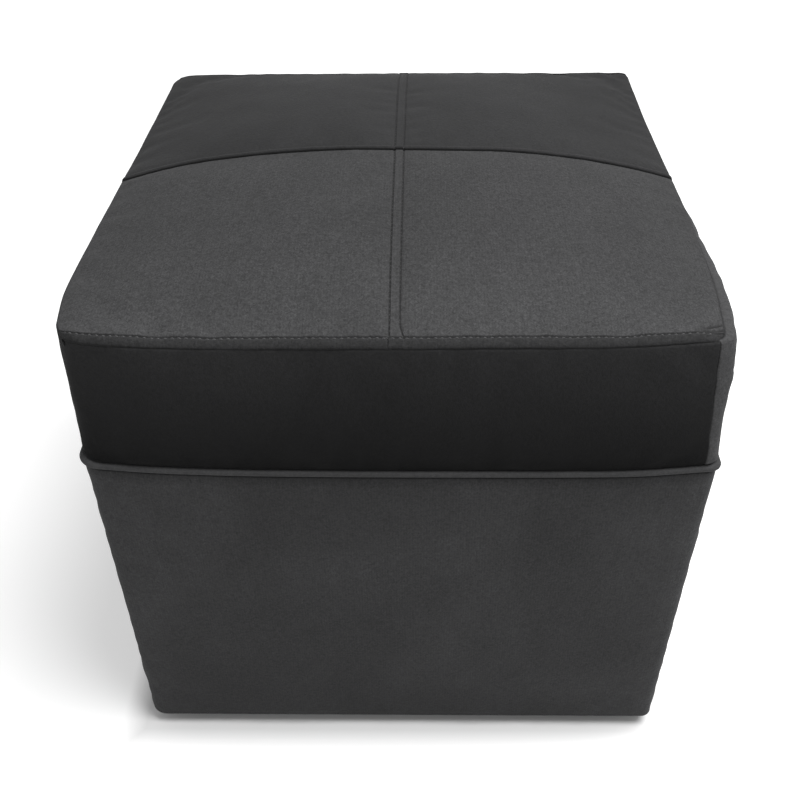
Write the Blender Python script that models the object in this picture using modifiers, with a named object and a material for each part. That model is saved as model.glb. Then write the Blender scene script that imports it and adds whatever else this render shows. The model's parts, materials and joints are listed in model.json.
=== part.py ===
"""Storage ottoman: an upholstered box on four glides, under a padded lid hinged along the rear.

Metres, +Z up. The front faces -Y, and the origin is on the floor below the middle.
"""

import math
from collections import namedtuple

import bmesh
import bpy
from mathutils import Matrix, Vector

# Overall size: the rim roll under the lid is the widest line, and the seat's crown is the top
WIDTH = 0.450
DEPTH = 0.450
HEIGHT = 0.450
LID_HEIGHT = 0.104  # from the joint to the seam round the seat
CROWN = 0.026  # the seat's rise above that seam
CROWN_POWER = 2.7  # higher is flatter in the middle and steeper near the seam
CROWN_CELLS = 8
SEAM_INSET = 0.008  # the seat's seam, inside the rim line on each side
HEM_INSET = 0.0005  # the lid's lower edge, inside the rim line
COVER_INSET = 0.002  # the cover's upper edge, inside the rim line
BOTTOM_INSET = 0.004  # the cover's lower edge, inside the rim line
CORNER_RADIUS = 0.012
CORNER_SEGMENTS = 4

# Clearances
GAP = 0.0003  # between pieces that touch
JOINT_GAP = 0.001  # between the lid's hem and the rim roll
BARREL_GAP = 0.0004  # between soft parts and a hinge's barrel
LEAF_GAP = 0.0002  # between soft parts and the outer faces of a hinge's leaves

# Upholstery
FABRIC = 0.0012
HEM_WIDTH = 0.028  # the band's fold under the lid board
TURN_IN = 0.021  # the cover's fold under the base
DUST_COVER = 0.0006
DUST_INSET = 0.016  # the dust cover's edge, inside the rim line
LINING = 0.0012
LID_LINING = 0.0008
WADDING = 0.003
WADDING_LAP = 0.008  # how far the wadding comes down the lid board's edge
THIN_PADDING = 0.0112  # side padding at its thin lower edge
RIM_HEIGHT = 0.006
RIM_ROUND = 0.002

# Carcass
PANEL = 0.012
LID_BOARD = 0.016
POST_LEG = 0.024  # legs of a corner post's right-angled section
RAIL_DEPTH = 0.018
RAIL_HEIGHT = 0.032

# Hinges
OPEN_ANGLE = math.radians(95)
SPARE_ANGLE = math.radians(2)  # left between the rear edges when the lid is fully open
HINGE_RECESS = 0.0055  # the hinge line, inside the rim line at the rear
HINGE_INSET = 0.105  # a hinge's middle, inside the rim line at the side
HINGE_LENGTH = 0.050
KNUCKLES = 3
BARREL_RADIUS = 0.003
PIN_RADIUS = 0.0015
BORE_RADIUS = 0.0016
PIN_HEAD_RADIUS = 0.0026
PIN_HEAD = 0.0008
LEAF = 0.0012
LEAF_WIDTH = 0.036
LEAF_SCREW_SPACING = 0.030
LEAF_SCREW_INSET = 0.006  # a screw's centre from the leaf's free edge

# Screws: the shank's length is measured below the head
Screw = namedtuple("Screw", "head_radius head shank_radius shank")
LEAF_SCREW = Screw(0.0030, 0.0013, 0.00175, 0.0120)
FOOT_SCREW = Screw(0.0045, 0.0030, 0.0020, 0.0180)
SCREW_CLEARANCE = 0.0003
HEAD_FLAT = 0.6  # share of a head's radius that is flat on top
TIP_TAPER = 1.5  # a tip's length, in shank radii

# Feet
FOOT_HEIGHT = 0.012
FOOT_RADIUS = 0.015
FOOT_ROUND = 0.002
FOOT_INSET = 0.045  # a foot's centre, inside the rim line
FOOT_RECESS = 0.005  # depth of the hollow that hides the screw's head

ROUND_STEPS = 24

# Heights and places that follow from the sizes above
JOINT_Z = HEIGHT - CROWN - LID_HEIGHT
SEAM_Z = HEIGHT - CROWN
AXIS_Y = DEPTH / 2 - HINGE_RECESS
EDGE_ANGLE = (OPEN_ANGLE + SPARE_ANGLE) / 2

COVER_Z = FOOT_HEIGHT + DUST_COVER + GAP
FLOOR_Z = COVER_Z + FABRIC + GAP
WALL_Z = FLOOR_Z + PANEL + GAP
CARCASS_TOP = JOINT_Z - BARREL_RADIUS - GAP
RIM_TOP = JOINT_Z - JOINT_GAP / 2
RIM_Z = RIM_TOP - RIM_HEIGHT
COVER_TOP = RIM_Z - GAP

HEM_Z = JOINT_Z + JOINT_GAP / 2
HEM_TOP = JOINT_Z + BARREL_RADIUS
BOARD_Z = HEM_TOP + GAP
BOARD_TOP = BOARD_Z + LID_BOARD
BAND_TOP = SEAM_Z - FABRIC - GAP

CARCASS_INSET = BOTTOM_INSET + FABRIC + GAP + THIN_PADDING + GAP
INNER_X = WIDTH / 2 - CARCASS_INSET - PANEL
INNER_Y = DEPTH / 2 - CARCASS_INSET - PANEL
RAIL_Y = INNER_Y - GAP - RAIL_DEPTH
RAIL_Z = CARCASS_TOP - RAIL_HEIGHT

REACH = 0.1  # how far a cutter runs past what it cuts
SIDES = {"front": -math.pi / 2, "rear": math.pi / 2, "left": math.pi, "right": 0.0}
CORNERS = {"front_left": (-1, -1), "front_right": (1, -1), "rear_left": (-1, 1), "rear_right": (1, 1)}


def clear_scene():
    for obj in list(bpy.data.objects):
        bpy.data.objects.remove(obj)


def new_collection(name):
    collection = bpy.data.collections.new(name)
    bpy.context.scene.collection.children.link(collection)
    return collection


def new_material(name, colour, roughness, metallic=0.0):
    material = bpy.data.materials.new(name)
    material.use_nodes = True
    shader = material.node_tree.nodes["Principled BSDF"]
    shader.inputs["Base Color"].default_value = (*colour, 1.0)
    shader.inputs["Roughness"].default_value = roughness
    shader.inputs["Metallic"].default_value = metallic
    material.diffuse_color = (*colour, 1.0)
    return material


clear_scene()
PARTS = new_collection("storage_ottoman")
CUTTERS = new_collection("cutters")
VELVET = new_material("velvet", (0.042, 0.042, 0.044), 0.85)
BAND_VELVET = new_material("band_velvet", (0.020, 0.020, 0.021), 0.88)
CHIPBOARD = new_material("chipboard", (0.45, 0.33, 0.20), 0.80)
FOAM = new_material("foam", (0.72, 0.68, 0.52), 0.90)
WADDING_WHITE = new_material("wadding", (0.80, 0.80, 0.78), 0.95)
LINING_BLACK = new_material("lining", (0.018, 0.018, 0.018), 0.90)
STEEL = new_material("zinc_steel", (0.60, 0.60, 0.58), 0.35, 1.0)
GLIDE_PLASTIC = new_material("glide_plastic", (0.02, 0.02, 0.02), 0.50)


# Making and joining shapes


def add_object(name, mesh, material=None):
    """A part if it has a material, and otherwise a cutter."""
    obj = bpy.data.objects.new(name, mesh)
    if material:
        PARTS.objects.link(obj)
        mesh.materials.append(material)
    else:
        CUTTERS.objects.link(obj)
        obj.hide_render = True
        obj.display_type = "WIRE"
    return obj


def add_from_bmesh(name, bm, material=None):
    bmesh.ops.recalc_face_normals(bm, faces=bm.faces[:])
    mesh = bpy.data.meshes.new(name)
    bm.to_mesh(mesh)
    bm.free()
    return add_object(name, mesh, material)


def boolean(target, other, operation="DIFFERENCE"):
    modifier = target.modifiers.new(other.name, "BOOLEAN")
    modifier.operation = operation
    modifier.solver = "EXACT"
    modifier.object = other


def box(name, low, high, material=None):
    low, high = Vector(low), Vector(high)
    bm = bmesh.new()
    bmesh.ops.create_cube(bm, size=1, matrix=Matrix.Diagonal((*(high - low), 1)))
    obj = add_from_bmesh(name, bm, material)
    obj.location = (low + high) / 2
    return obj


def slab(name, half_x, half_y, low_z, high_z, material=None):
    """A box on the object's middle line."""
    return box(name, (-half_x, -half_y, low_z), (half_x, half_y, high_z), material)


def cylinder(name, radius, middle, length, material=None, along="Z"):
    bm = bmesh.new()
    bmesh.ops.create_cone(
        bm, cap_ends=True, segments=ROUND_STEPS, radius1=radius, radius2=radius, depth=length
    )
    if along == "X":
        bmesh.ops.rotate(bm, verts=bm.verts[:], matrix=Matrix.Rotation(math.pi / 2, 3, "Y"))
    obj = add_from_bmesh(name, bm, material)
    obj.location = middle
    return obj


def prism(name, outline, low_z, high_z, material=None):
    """A flat outline of (x, y) points, raised from low_z to high_z."""
    curve = bpy.data.curves.new(name + "_outline", "CURVE")
    curve.dimensions = "2D"
    curve.fill_mode = "BOTH"
    curve.extrude = (high_z - low_z) / 2
    spline = curve.splines.new("POLY")
    spline.points.add(len(outline) - 1)
    for point, (x, y) in zip(spline.points, outline):
        point.co = (x, y, 0, 1)
    spline.use_cyclic_u = True
    guide = bpy.data.objects.new(name + "_outline", curve)
    guide.location.z = (low_z + high_z) / 2
    CUTTERS.objects.link(guide)
    bpy.context.view_layer.update()
    drawn = guide.evaluated_get(bpy.context.evaluated_depsgraph_get())
    bm = bmesh.new()
    bm.from_mesh(bpy.data.meshes.new_from_object(drawn))
    bmesh.ops.remove_doubles(bm, verts=bm.verts[:], dist=1e-6)
    obj = add_from_bmesh(name, bm, material)
    obj.matrix_world = guide.matrix_world.copy()
    bpy.data.objects.remove(guide)
    return obj


def turned(name, profile, location, material, closed=False, upside_down=False):
    """A profile of (radius, height) points, running down its outer side, turned round Z."""
    mesh = bpy.data.meshes.new(name)
    edges = [(i, i + 1) for i in range(len(profile) - 1)]
    if closed:
        edges.append((len(profile) - 1, 0))
    mesh.from_pydata([(radius, 0, height) for radius, height in profile], edges, [])
    obj = add_object(name, mesh, material)
    screw = obj.modifiers.new("Turn", "SCREW")
    screw.axis = "Z"
    screw.steps = screw.render_steps = ROUND_STEPS
    screw.use_merge_vertices = True
    screw.merge_threshold = 0.00001
    screw.use_smooth_shade = True
    obj.location = location
    if upside_down:
        obj.rotation_euler.x = math.pi
    return obj


def upright_edges(bm):
    """The four upright edges of a cube that is still centred on its own middle."""
    return [e for e in bm.edges if e.verts[0].co.z * e.verts[1].co.z < 0]


def round_edges(bm, edges, radius, segments):
    bmesh.ops.bevel(
        bm, geom=edges, offset=radius, segments=segments, profile=0.5, affect="EDGES"
    )


# Shapes that follow the outside of the base and of the lid


def base_inset(z):
    """How far the cover's face is inside the rim line at a height."""
    share = (z - COVER_Z) / (COVER_TOP - COVER_Z)
    return BOTTOM_INSET + (COVER_INSET - BOTTOM_INSET) * share


def lid_inset(z):
    share = (z - HEM_Z) / (SEAM_Z - HEM_Z)
    return HEM_INSET + (SEAM_INSET - HEM_INSET) * share


def tapered_block(name, low, high, radius, material=None):
    """A block with upright corners rounded; low and high are (z, inset from the rim line)."""
    bm = bmesh.new()
    bmesh.ops.create_cube(bm, size=2)
    upright = upright_edges(bm)
    for vert in bm.verts:
        z, inset = high if vert.co.z > 0 else low
        vert.co = (vert.co.x * (WIDTH / 2 - inset), vert.co.y * (DEPTH / 2 - inset), z)
    round_edges(bm, upright, radius, CORNER_SEGMENTS)
    return add_from_bmesh(name, bm, material)


def base_block(name, inset, low_z, high_z, material=None):
    """The cover's outer shape, drawn in by an inset, between two heights."""
    low = (low_z, base_inset(low_z) + inset)
    high = (high_z, base_inset(high_z) + inset)
    return tapered_block(name, low, high, CORNER_RADIUS - inset, material)


def bevel_hinge_edge(bm, up, inset):
    """Cuts back the rear edge beside the hinge line; up is 1 for the lid and -1 for the base."""
    outward = Vector((0, math.sin(EDGE_ANGLE), -up * math.cos(EDGE_ANGLE)))
    point = Vector((0, AXIS_Y, JOINT_Z)) - outward * (GAP + inset)
    everything = bm.verts[:] + bm.edges[:] + bm.faces[:]
    cut = bmesh.ops.bisect_plane(
        bm, geom=everything, plane_co=point, plane_no=outward, clear_outer=True
    )
    rim = [e for e in cut["geom_cut"] if isinstance(e, bmesh.types.BMEdge)]
    bmesh.ops.contextual_create(bm, geom=rim)


def lid_block(name, inset, low_z, material=None):
    """The lid's crowned outer shape above low_z, drawn in by an inset."""
    bm = bmesh.new()
    bmesh.ops.create_grid(bm, x_segments=CROWN_CELLS, y_segments=CROWN_CELLS, size=1)
    shares = {vert: (vert.co.x, vert.co.y) for vert in bm.verts}
    top_z = SEAM_Z - inset
    top_inset = lid_inset(top_z) + inset
    low_inset = lid_inset(low_z) + inset
    for vert, (u, v) in shares.items():
        rise = CROWN * (1 - abs(u) ** CROWN_POWER) * (1 - abs(v) ** CROWN_POWER)
        vert.co = (u * (WIDTH / 2 - top_inset), v * (DEPTH / 2 - top_inset), top_z + rise)
    bmesh.ops.triangulate(bm, faces=bm.faces[:], quad_method="SHORT_EDGE")
    below = bm.faces[:]
    bmesh.ops.extrude_face_region(bm, geom=below, use_keep_orig=True)
    for vert, (u, v) in shares.items():
        vert.co = (u * (WIDTH / 2 - low_inset), v * (DEPTH / 2 - low_inset), low_z)
    corners = [vert for vert, (u, v) in shares.items() if abs(u * v) > 0.999]
    upright = [e for vert in corners for e in vert.link_edges if e.other_vert(vert) not in shares]
    bmesh.ops.dissolve_faces(bm, faces=below, use_verts=True)
    round_edges(bm, upright, CORNER_RADIUS - inset, CORNER_SEGMENTS)
    bevel_hinge_edge(bm, 1, inset)
    return add_from_bmesh(name, bm, material)


def side_outline(side):
    """The mitred share of one side, as seen from above, from well outside to well inside."""
    along, across = (WIDTH, DEPTH) if side in ("front", "rear") else (DEPTH, WIDTH)
    inner = min(WIDTH, DEPTH) / 4
    shift = GAP / math.sqrt(2)
    local = [
        (across / 2 + REACH + shift, along / 2 + REACH),
        (across / 2 + REACH + shift, -along / 2 - REACH),
        (across / 2 - inner + shift, -along / 2 + inner),
        (across / 2 - inner + shift, along / 2 - inner),
    ]
    turn = Matrix.Rotation(SIDES[side], 2)
    return [tuple(turn @ Vector(point)) for point in local]


def storage_outline(wall, rear_y):
    """The octagon inside the walls and corner posts, drawn in by a wall thickness."""
    diagonal = INNER_X + INNER_Y - 2 * GAP - POST_LEG - (GAP + wall) * math.sqrt(2)
    side_x = INNER_X - GAP - wall
    outline = []
    for sign_x, sign_y in ((1, -1), (1, 1), (-1, 1), (-1, -1)):
        end_y = (INNER_Y if sign_y < 0 else rear_y) - GAP - wall
        pair = [(sign_x * side_x, sign_y * (diagonal - side_x))]
        pair.append((sign_x * (diagonal - end_y), sign_y * end_y))
        outline += pair if sign_x * sign_y > 0 else pair[::-1]
    return outline


# The base: carcass, padding, cover, rim, lining and feet


def foot_places():
    for corner, (sign_x, sign_y) in CORNERS.items():
        yield corner, sign_x * (WIDTH / 2 - FOOT_INSET), sign_y * (DEPTH / 2 - FOOT_INSET)


def base_panel():
    panel = slab(
        "base_panel", INNER_X + PANEL, INNER_Y + PANEL, FLOOR_Z, FLOOR_Z + PANEL, CHIPBOARD
    )
    radius = FOOT_SCREW.shank_radius + SCREW_CLEARANCE
    top = FOOT_RECESS - GAP + FOOT_SCREW.shank + SCREW_CLEARANCE
    for corner, x, y in foot_places():
        boolean(panel, cylinder("cut_foot_hole_" + corner, radius, (x, y, top - REACH / 2), REACH))


def walls():
    """The front and rear panels run the full width, and the side panels stand between them."""
    half_x, half_y = INNER_X + PANEL, INNER_Y - GAP
    for name, sign in (("front_panel", -1), ("rear_panel", 1)):
        low_y, high_y = sorted((sign * INNER_Y, sign * (INNER_Y + PANEL)))
        box(name, (-half_x, low_y, WALL_Z), (half_x, high_y, CARCASS_TOP), CHIPBOARD)
    for name, sign in (("left_panel", -1), ("right_panel", 1)):
        low_x, high_x = sorted((sign * INNER_X, sign * (INNER_X + PANEL)))
        box(name, (low_x, -half_y, WALL_Z), (high_x, half_y, CARCASS_TOP), CHIPBOARD)


def corner_posts():
    """Three-cornered posts in the walls' corners; the rear ones stop under the hinge rail."""
    for corner, (sign_x, sign_y) in CORNERS.items():
        x, y = sign_x * (INNER_X - GAP), sign_y * (INNER_Y - GAP)
        section = [(x, y), (x - sign_x * POST_LEG, y), (x, y - sign_y * POST_LEG)]
        top = RAIL_Z - GAP if sign_y > 0 else CARCASS_TOP
        prism("corner_post_" + corner, section, WALL_Z, top, CHIPBOARD)


def hinge_rail():
    half_x = INNER_X - GAP
    low, high = (-half_x, RAIL_Y, RAIL_Z), (half_x, INNER_Y - GAP, CARCASS_TOP)
    rail = box("hinge_rail", low, high, CHIPBOARD)
    for place, x, y in leaf_screw_places():
        boolean(rail, leaf_screw_hole("cut_rail_" + place, x, y, -1))


def side_padding():
    inner_x = INNER_X + PANEL + GAP
    inner_y = INNER_Y + PANEL + GAP
    core = slab("cut_padding_core", inner_x, inner_y, -REACH, HEIGHT)
    for side in SIDES:
        pad = base_block("padding_" + side, FABRIC + GAP, FLOOR_Z, COVER_TOP, FOAM)
        share = prism("share_padding_" + side, side_outline(side), -REACH, HEIGHT)
        boolean(pad, core)
        boolean(pad, share, "INTERSECT")


def body_cover():
    """A sleeve round the box, folded in under the base."""
    sleeve = base_block("body_cover", 0, COVER_Z, COVER_TOP, VELVET)
    above = COVER_TOP + RIM_HEIGHT
    boolean(sleeve, base_block("cut_cover_inside", FABRIC, COVER_Z + FABRIC, above))
    inset = BOTTOM_INSET + TURN_IN
    boolean(sleeve, slab("cut_turn_in", WIDTH / 2 - inset, DEPTH / 2 - inset, 0, FLOOR_Z))


def dust_cover():
    half_x, half_y = WIDTH / 2 - DUST_INSET, DEPTH / 2 - DUST_INSET
    top = FOOT_HEIGHT + DUST_COVER
    sheet = slab("dust_cover", half_x, half_y, FOOT_HEIGHT, top, LINING_BLACK)
    radius = FOOT_SCREW.shank_radius + SCREW_CLEARANCE
    for corner, x, y in foot_places():
        boolean(sheet, cylinder("cut_dust_cover_" + corner, radius, (x, y, top), FOOT_HEIGHT))


def rim_roll():
    """The padded fold of fabric on the box's edge, with the flat part that covers the walls."""
    bm = bmesh.new()
    bmesh.ops.create_cube(bm, size=1, matrix=Matrix.Diagonal((WIDTH, DEPTH, RIM_HEIGHT, 1)))
    round_edges(bm, upright_edges(bm), CORNER_RADIUS, CORNER_SEGMENTS)
    lying = {e for f in bm.faces if abs(f.normal.z) > 0.9 for e in f.edges}
    round_edges(bm, list(lying), RIM_ROUND, 2)
    bmesh.ops.translate(bm, verts=bm.verts[:], vec=(0, 0, (RIM_Z + RIM_TOP) / 2))
    bevel_hinge_edge(bm, -1, 0)
    rim = add_from_bmesh("rim_roll", bm, VELVET)
    over_x = INNER_X + PANEL + GAP
    over_y = INNER_Y + PANEL + GAP
    boolean(rim, slab("cut_rim_walls", over_x, over_y, 0, CARCASS_TOP + GAP))
    boolean(rim, prism("cut_rim_mouth", storage_outline(LINING, RAIL_Y), 0, HEIGHT))
    return rim


def under_rail_box(name, clearance):
    """The hinge rail and all behind it, with a clearance below and in front."""
    low = (-WIDTH / 2, RAIL_Y - clearance, RAIL_Z - clearance)
    return box(name, low, (WIDTH / 2, DEPTH / 2, HEIGHT + REACH))


def storage_lining():
    """The lining goes down the walls and corner posts, and steps back under the hinge rail."""
    outside = storage_outline(0, INNER_Y)
    lining = prism("storage_lining", outside, WALL_Z, CARCASS_TOP, LINING_BLACK)
    boolean(lining, under_rail_box("cut_lining_rail", GAP))
    hollow = prism("cut_lining_inside", storage_outline(LINING, INNER_Y), WALL_Z + LINING, HEIGHT)
    boolean(hollow, under_rail_box("cut_lining_step", GAP + LINING))
    boolean(lining, hollow)


def feet():
    top = FOOT_HEIGHT - GAP
    hole = FOOT_SCREW.shank_radius + SCREW_CLEARANCE
    recess = FOOT_SCREW.head_radius + SCREW_CLEARANCE
    foot = [
        (hole, top),
        (FOOT_RADIUS, top),
        (FOOT_RADIUS, FOOT_ROUND),
        (FOOT_RADIUS - FOOT_ROUND, 0),
        (recess, 0),
        (recess, FOOT_RECESS),
        (hole, FOOT_RECESS),
    ]
    for corner, x, y in foot_places():
        turned("foot_" + corner, foot, (x, y, 0), GLIDE_PLASTIC, closed=True)
        seat = (x, y, FOOT_RECESS - GAP)
        turned("foot_screw_" + corner, screw_profile(FOOT_SCREW), seat, STEEL, upside_down=True)


def screw_profile(screw):
    """A plain pan-head screw, head up, with the underside of its head at height 0."""
    return [
        (0, screw.head),
        (screw.head_radius * HEAD_FLAT, screw.head),
        (screw.head_radius, screw.head / 2),
        (screw.head_radius, 0),
        (screw.shank_radius, 0),
        (screw.shank_radius, screw.shank_radius * TIP_TAPER - screw.shank),
        (0, -screw.shank),
    ]


# The lid: board, foam, wadding, seat panels, band panels and lining


def lid_board():
    under_wadding = FABRIC + GAP + WADDING + GAP
    inset = lid_inset(BOARD_TOP) + under_wadding
    radius = CORNER_RADIUS - under_wadding
    board = tapered_block("lid_board", (BOARD_Z, inset), (BOARD_TOP, inset), radius, CHIPBOARD)
    for place, x, y in leaf_screw_places():
        boolean(board, leaf_screw_hole("cut_board_" + place, x, y, 1))
    return board


def lid_stuffing():
    """A foam block on the board, under wadding that laps the board's edge."""
    under_wadding = FABRIC + GAP + WADDING
    foam = lid_block("lid_foam", under_wadding + GAP, BOARD_TOP + GAP, FOAM)
    wadding = lid_block("lid_wadding", FABRIC + GAP, BOARD_TOP - WADDING_LAP, WADDING_WHITE)
    boolean(wadding, lid_block("cut_wadding_inside", under_wadding, JOINT_Z))
    return [foam, wadding]


def lid_panels(pockets):
    """Four seat panels and four band panels, which are shares of one thin shell."""
    inside = lid_block("cut_lid_inside", FABRIC, HEM_TOP)
    inset = HEM_INSET + HEM_WIDTH
    hem_mouth = slab("cut_hem_mouth", WIDTH / 2 - inset, DEPTH / 2 - inset, HEM_Z - REACH, BOARD_TOP)
    panels = []
    for side in SIDES:
        panel = lid_block("band_" + side, 0, HEM_Z, BAND_VELVET)
        boolean(panel, inside)
        boolean(panel, hem_mouth)
        boolean(panel, prism("share_band_" + side, side_outline(side), 0, BAND_TOP), "INTERSECT")
        if side == "rear":
            for pocket in pockets:
                boolean(panel, pocket)
        panels.append(panel)
    for corner, (sign_x, sign_y) in CORNERS.items():
        panel = lid_block("seat_" + corner, 0, HEM_Z, VELVET)
        boolean(panel, inside)
        lows = [min(sign * GAP / 2, sign * WIDTH) for sign in (sign_x, sign_y)]
        highs = [max(sign * GAP / 2, sign * WIDTH) for sign in (sign_x, sign_y)]
        share = box("share_seat_" + corner, (*lows, BAND_TOP + GAP), (*highs, HEIGHT + REACH))
        boolean(panel, share, "INTERSECT")
        panels.append(panel)
    return panels


def lid_lining(pockets):
    inset = HEM_INSET + HEM_WIDTH + GAP
    lining = slab(
        "lid_lining",
        WIDTH / 2 - inset,
        DEPTH / 2 - inset,
        BOARD_Z - GAP - LID_LINING,
        BOARD_Z - GAP,
        LINING_BLACK,
    )
    for pocket in pockets:
        boolean(lining, pocket)
    return lining


# The hinges


def hinge_places():
    for side, sign in (("left", -1), ("right", 1)):
        yield side, sign * (WIDTH / 2 - HINGE_INSET)


def leaf_screw_places():
    y = AXIS_Y - LEAF_WIDTH + LEAF_SCREW_INSET
    for side, x in hinge_places():
        for place, sign in (("outer", 1), ("inner", -1)):
            outward = math.copysign(LEAF_SCREW_SPACING / 2, x)
            yield f"{side}_{place}", x + sign * outward, y


def leaf_screw_hole(name, x, y, up):
    """A pilot hole into the lid board (up is 1) or the hinge rail (up is -1)."""
    bottom = BARREL_RADIUS - LEAF + LEAF_SCREW.shank + SCREW_CLEARANCE
    radius = LEAF_SCREW.shank_radius + SCREW_CLEARANCE
    return cylinder(name, radius, (x, y, JOINT_Z + up * (bottom - REACH / 2)), REACH)


def hinge_pockets():
    """The room that the soft parts leave round each hinge's leaves and barrel."""
    half = HINGE_LENGTH / 2 + PIN_HEAD + 2 * BARREL_GAP
    deep = BARREL_RADIUS + LEAF_GAP
    pockets = []
    for side, x in hinge_places():
        low = (x - half, AXIS_Y - LEAF_WIDTH - BARREL_GAP, JOINT_Z - deep)
        pockets.append(box("cut_pocket_" + side, low, (x + half, AXIS_Y, JOINT_Z + deep)))
        radius = BARREL_RADIUS + BARREL_GAP
        middle = (x, AXIS_Y, JOINT_Z)
        pockets.append(cylinder("cut_barrel_" + side, radius, middle, 2 * half, along="X"))
    return pockets


def hinge_leaf(name, side, x, up):
    """A leaf flat against the board (up is 1) or the rail (up is -1), with its knuckles."""
    near = JOINT_Z + up * (BARREL_RADIUS - LEAF)
    far = JOINT_Z + up * BARREL_RADIUS
    half = HINGE_LENGTH / 2
    low = (x - half, AXIS_Y - LEAF_WIDTH, min(near, far))
    leaf = box(name, low, (x + half, AXIS_Y, max(near, far)), STEEL)
    pitch = HINGE_LENGTH / KNUCKLES
    for i in range(KNUCKLES):
        middle = (x + (i - (KNUCKLES - 1) / 2) * pitch, AXIS_Y, JOINT_Z)
        own = (i % 2 == 1) == (up == 1)
        if own:
            knuckle = cylinder(f"join_{name}_{i}", BARREL_RADIUS, middle, pitch - GAP, along="X")
            boolean(leaf, knuckle, "UNION")
        else:
            radius = BARREL_RADIUS + GAP
            notch = cylinder(f"cut_{name}_{i}", radius, middle, pitch + GAP, along="X")
            boolean(leaf, notch)
    bore = cylinder("cut_bore_" + name, BORE_RADIUS, (x, AXIS_Y, JOINT_Z), REACH, along="X")
    boolean(leaf, bore)
    for place, screw_x, y in leaf_screw_places():
        if place.startswith(side):
            radius = LEAF_SCREW.shank_radius + SCREW_CLEARANCE
            hole = cylinder(f"cut_{name}_{place}", radius, (screw_x, y, JOINT_Z), REACH)
            boolean(leaf, hole)
    return leaf


def hinge_pin(side, x):
    """A pin with a flat head at its outer end."""
    half = HINGE_LENGTH / 2
    profile = [
        (0, half + GAP + PIN_HEAD),
        (PIN_HEAD_RADIUS, half + GAP + PIN_HEAD),
        (PIN_HEAD_RADIUS, half + GAP),
        (PIN_RADIUS, half + GAP),
        (PIN_RADIUS, -half),
        (0, -half),
    ]
    pin = turned("hinge_pin_" + side, profile, (x, AXIS_Y, JOINT_Z), STEEL)
    pin.rotation_euler.y = math.copysign(math.pi / 2, x)


def hinges():
    """Fits both hinges, and returns the pieces that move with the lid."""
    moving = []
    for side, x in hinge_places():
        hinge_leaf("hinge_leaf_base_" + side, side, x, -1)
        moving.append(hinge_leaf("hinge_leaf_lid_" + side, side, x, 1))
        hinge_pin(side, x)
    seat = BARREL_RADIUS - LEAF - GAP
    for place, x, y in leaf_screw_places():
        profile = screw_profile(LEAF_SCREW)
        turned("base_screw_" + place, profile, (x, y, JOINT_Z - seat), STEEL)
        screw = turned(
            "lid_screw_" + place, profile, (x, y, JOINT_Z + seat), STEEL, upside_down=True
        )
        moving.append(screw)
    return moving


def hang_on_hinge_line(pieces):
    """Parents the lid's pieces to an empty on the hinge line, where they are."""
    line = bpy.data.objects.new("lid_hinge_line", None)
    PARTS.objects.link(line)
    line.location = (0, AXIS_Y, JOINT_Z)
    for piece in pieces:
        piece.parent = line
        piece.matrix_parent_inverse = Matrix.Translation(line.location).inverted()


def build():
    pockets = hinge_pockets()
    base_panel()
    walls()
    corner_posts()
    hinge_rail()
    side_padding()
    body_cover()
    dust_cover()
    storage_lining()
    feet()
    rim = rim_roll()
    for pocket in pockets:
        boolean(rim, pocket)
    lid = [lid_board(), lid_lining(pockets)] + lid_stuffing() + lid_panels(pockets) + hinges()
    hang_on_hinge_line(lid)


build()
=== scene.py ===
"""Looks of the storage ottoman: velvet panels over foam, with stitched seams, linings, glides and metalwork.

Metres, +Z up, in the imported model's frame: the front faces -Y, and the origin is on the floor below the middle.
"""

import json
import math

import bmesh
import bpy
import numpy as np
from mathutils import Matrix, Vector

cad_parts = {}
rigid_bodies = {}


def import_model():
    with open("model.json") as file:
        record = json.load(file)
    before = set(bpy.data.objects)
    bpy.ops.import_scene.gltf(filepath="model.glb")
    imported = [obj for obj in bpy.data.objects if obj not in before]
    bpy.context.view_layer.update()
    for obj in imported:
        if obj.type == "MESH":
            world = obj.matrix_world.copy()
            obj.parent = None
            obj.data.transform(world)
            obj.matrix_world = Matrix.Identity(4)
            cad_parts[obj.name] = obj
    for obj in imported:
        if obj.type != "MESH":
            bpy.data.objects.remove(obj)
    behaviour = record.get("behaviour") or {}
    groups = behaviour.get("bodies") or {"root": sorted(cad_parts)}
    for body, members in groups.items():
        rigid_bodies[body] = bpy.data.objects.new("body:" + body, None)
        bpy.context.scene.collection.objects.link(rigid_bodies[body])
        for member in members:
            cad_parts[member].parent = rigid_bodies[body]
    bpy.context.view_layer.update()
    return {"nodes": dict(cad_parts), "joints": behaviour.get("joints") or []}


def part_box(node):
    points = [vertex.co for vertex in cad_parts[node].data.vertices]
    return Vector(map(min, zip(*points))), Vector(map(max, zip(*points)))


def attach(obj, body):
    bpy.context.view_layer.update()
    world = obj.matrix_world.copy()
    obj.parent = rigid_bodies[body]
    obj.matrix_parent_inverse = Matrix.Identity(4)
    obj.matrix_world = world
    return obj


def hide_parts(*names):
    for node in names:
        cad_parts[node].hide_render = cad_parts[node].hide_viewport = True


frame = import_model()


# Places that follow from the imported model


def low(node, axis):
    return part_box(node)[0]["xyz".index(axis)]


def high(node, axis):
    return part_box(node)[1]["xyz".index(axis)]


HINGE = frame["joints"][0]
AXIS_Y, JOINT_Z = HINGE["pos_m"][1], HINGE["pos_m"][2]
OPEN_ANGLE = math.radians(HINGE["range_deg"][1])

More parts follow.
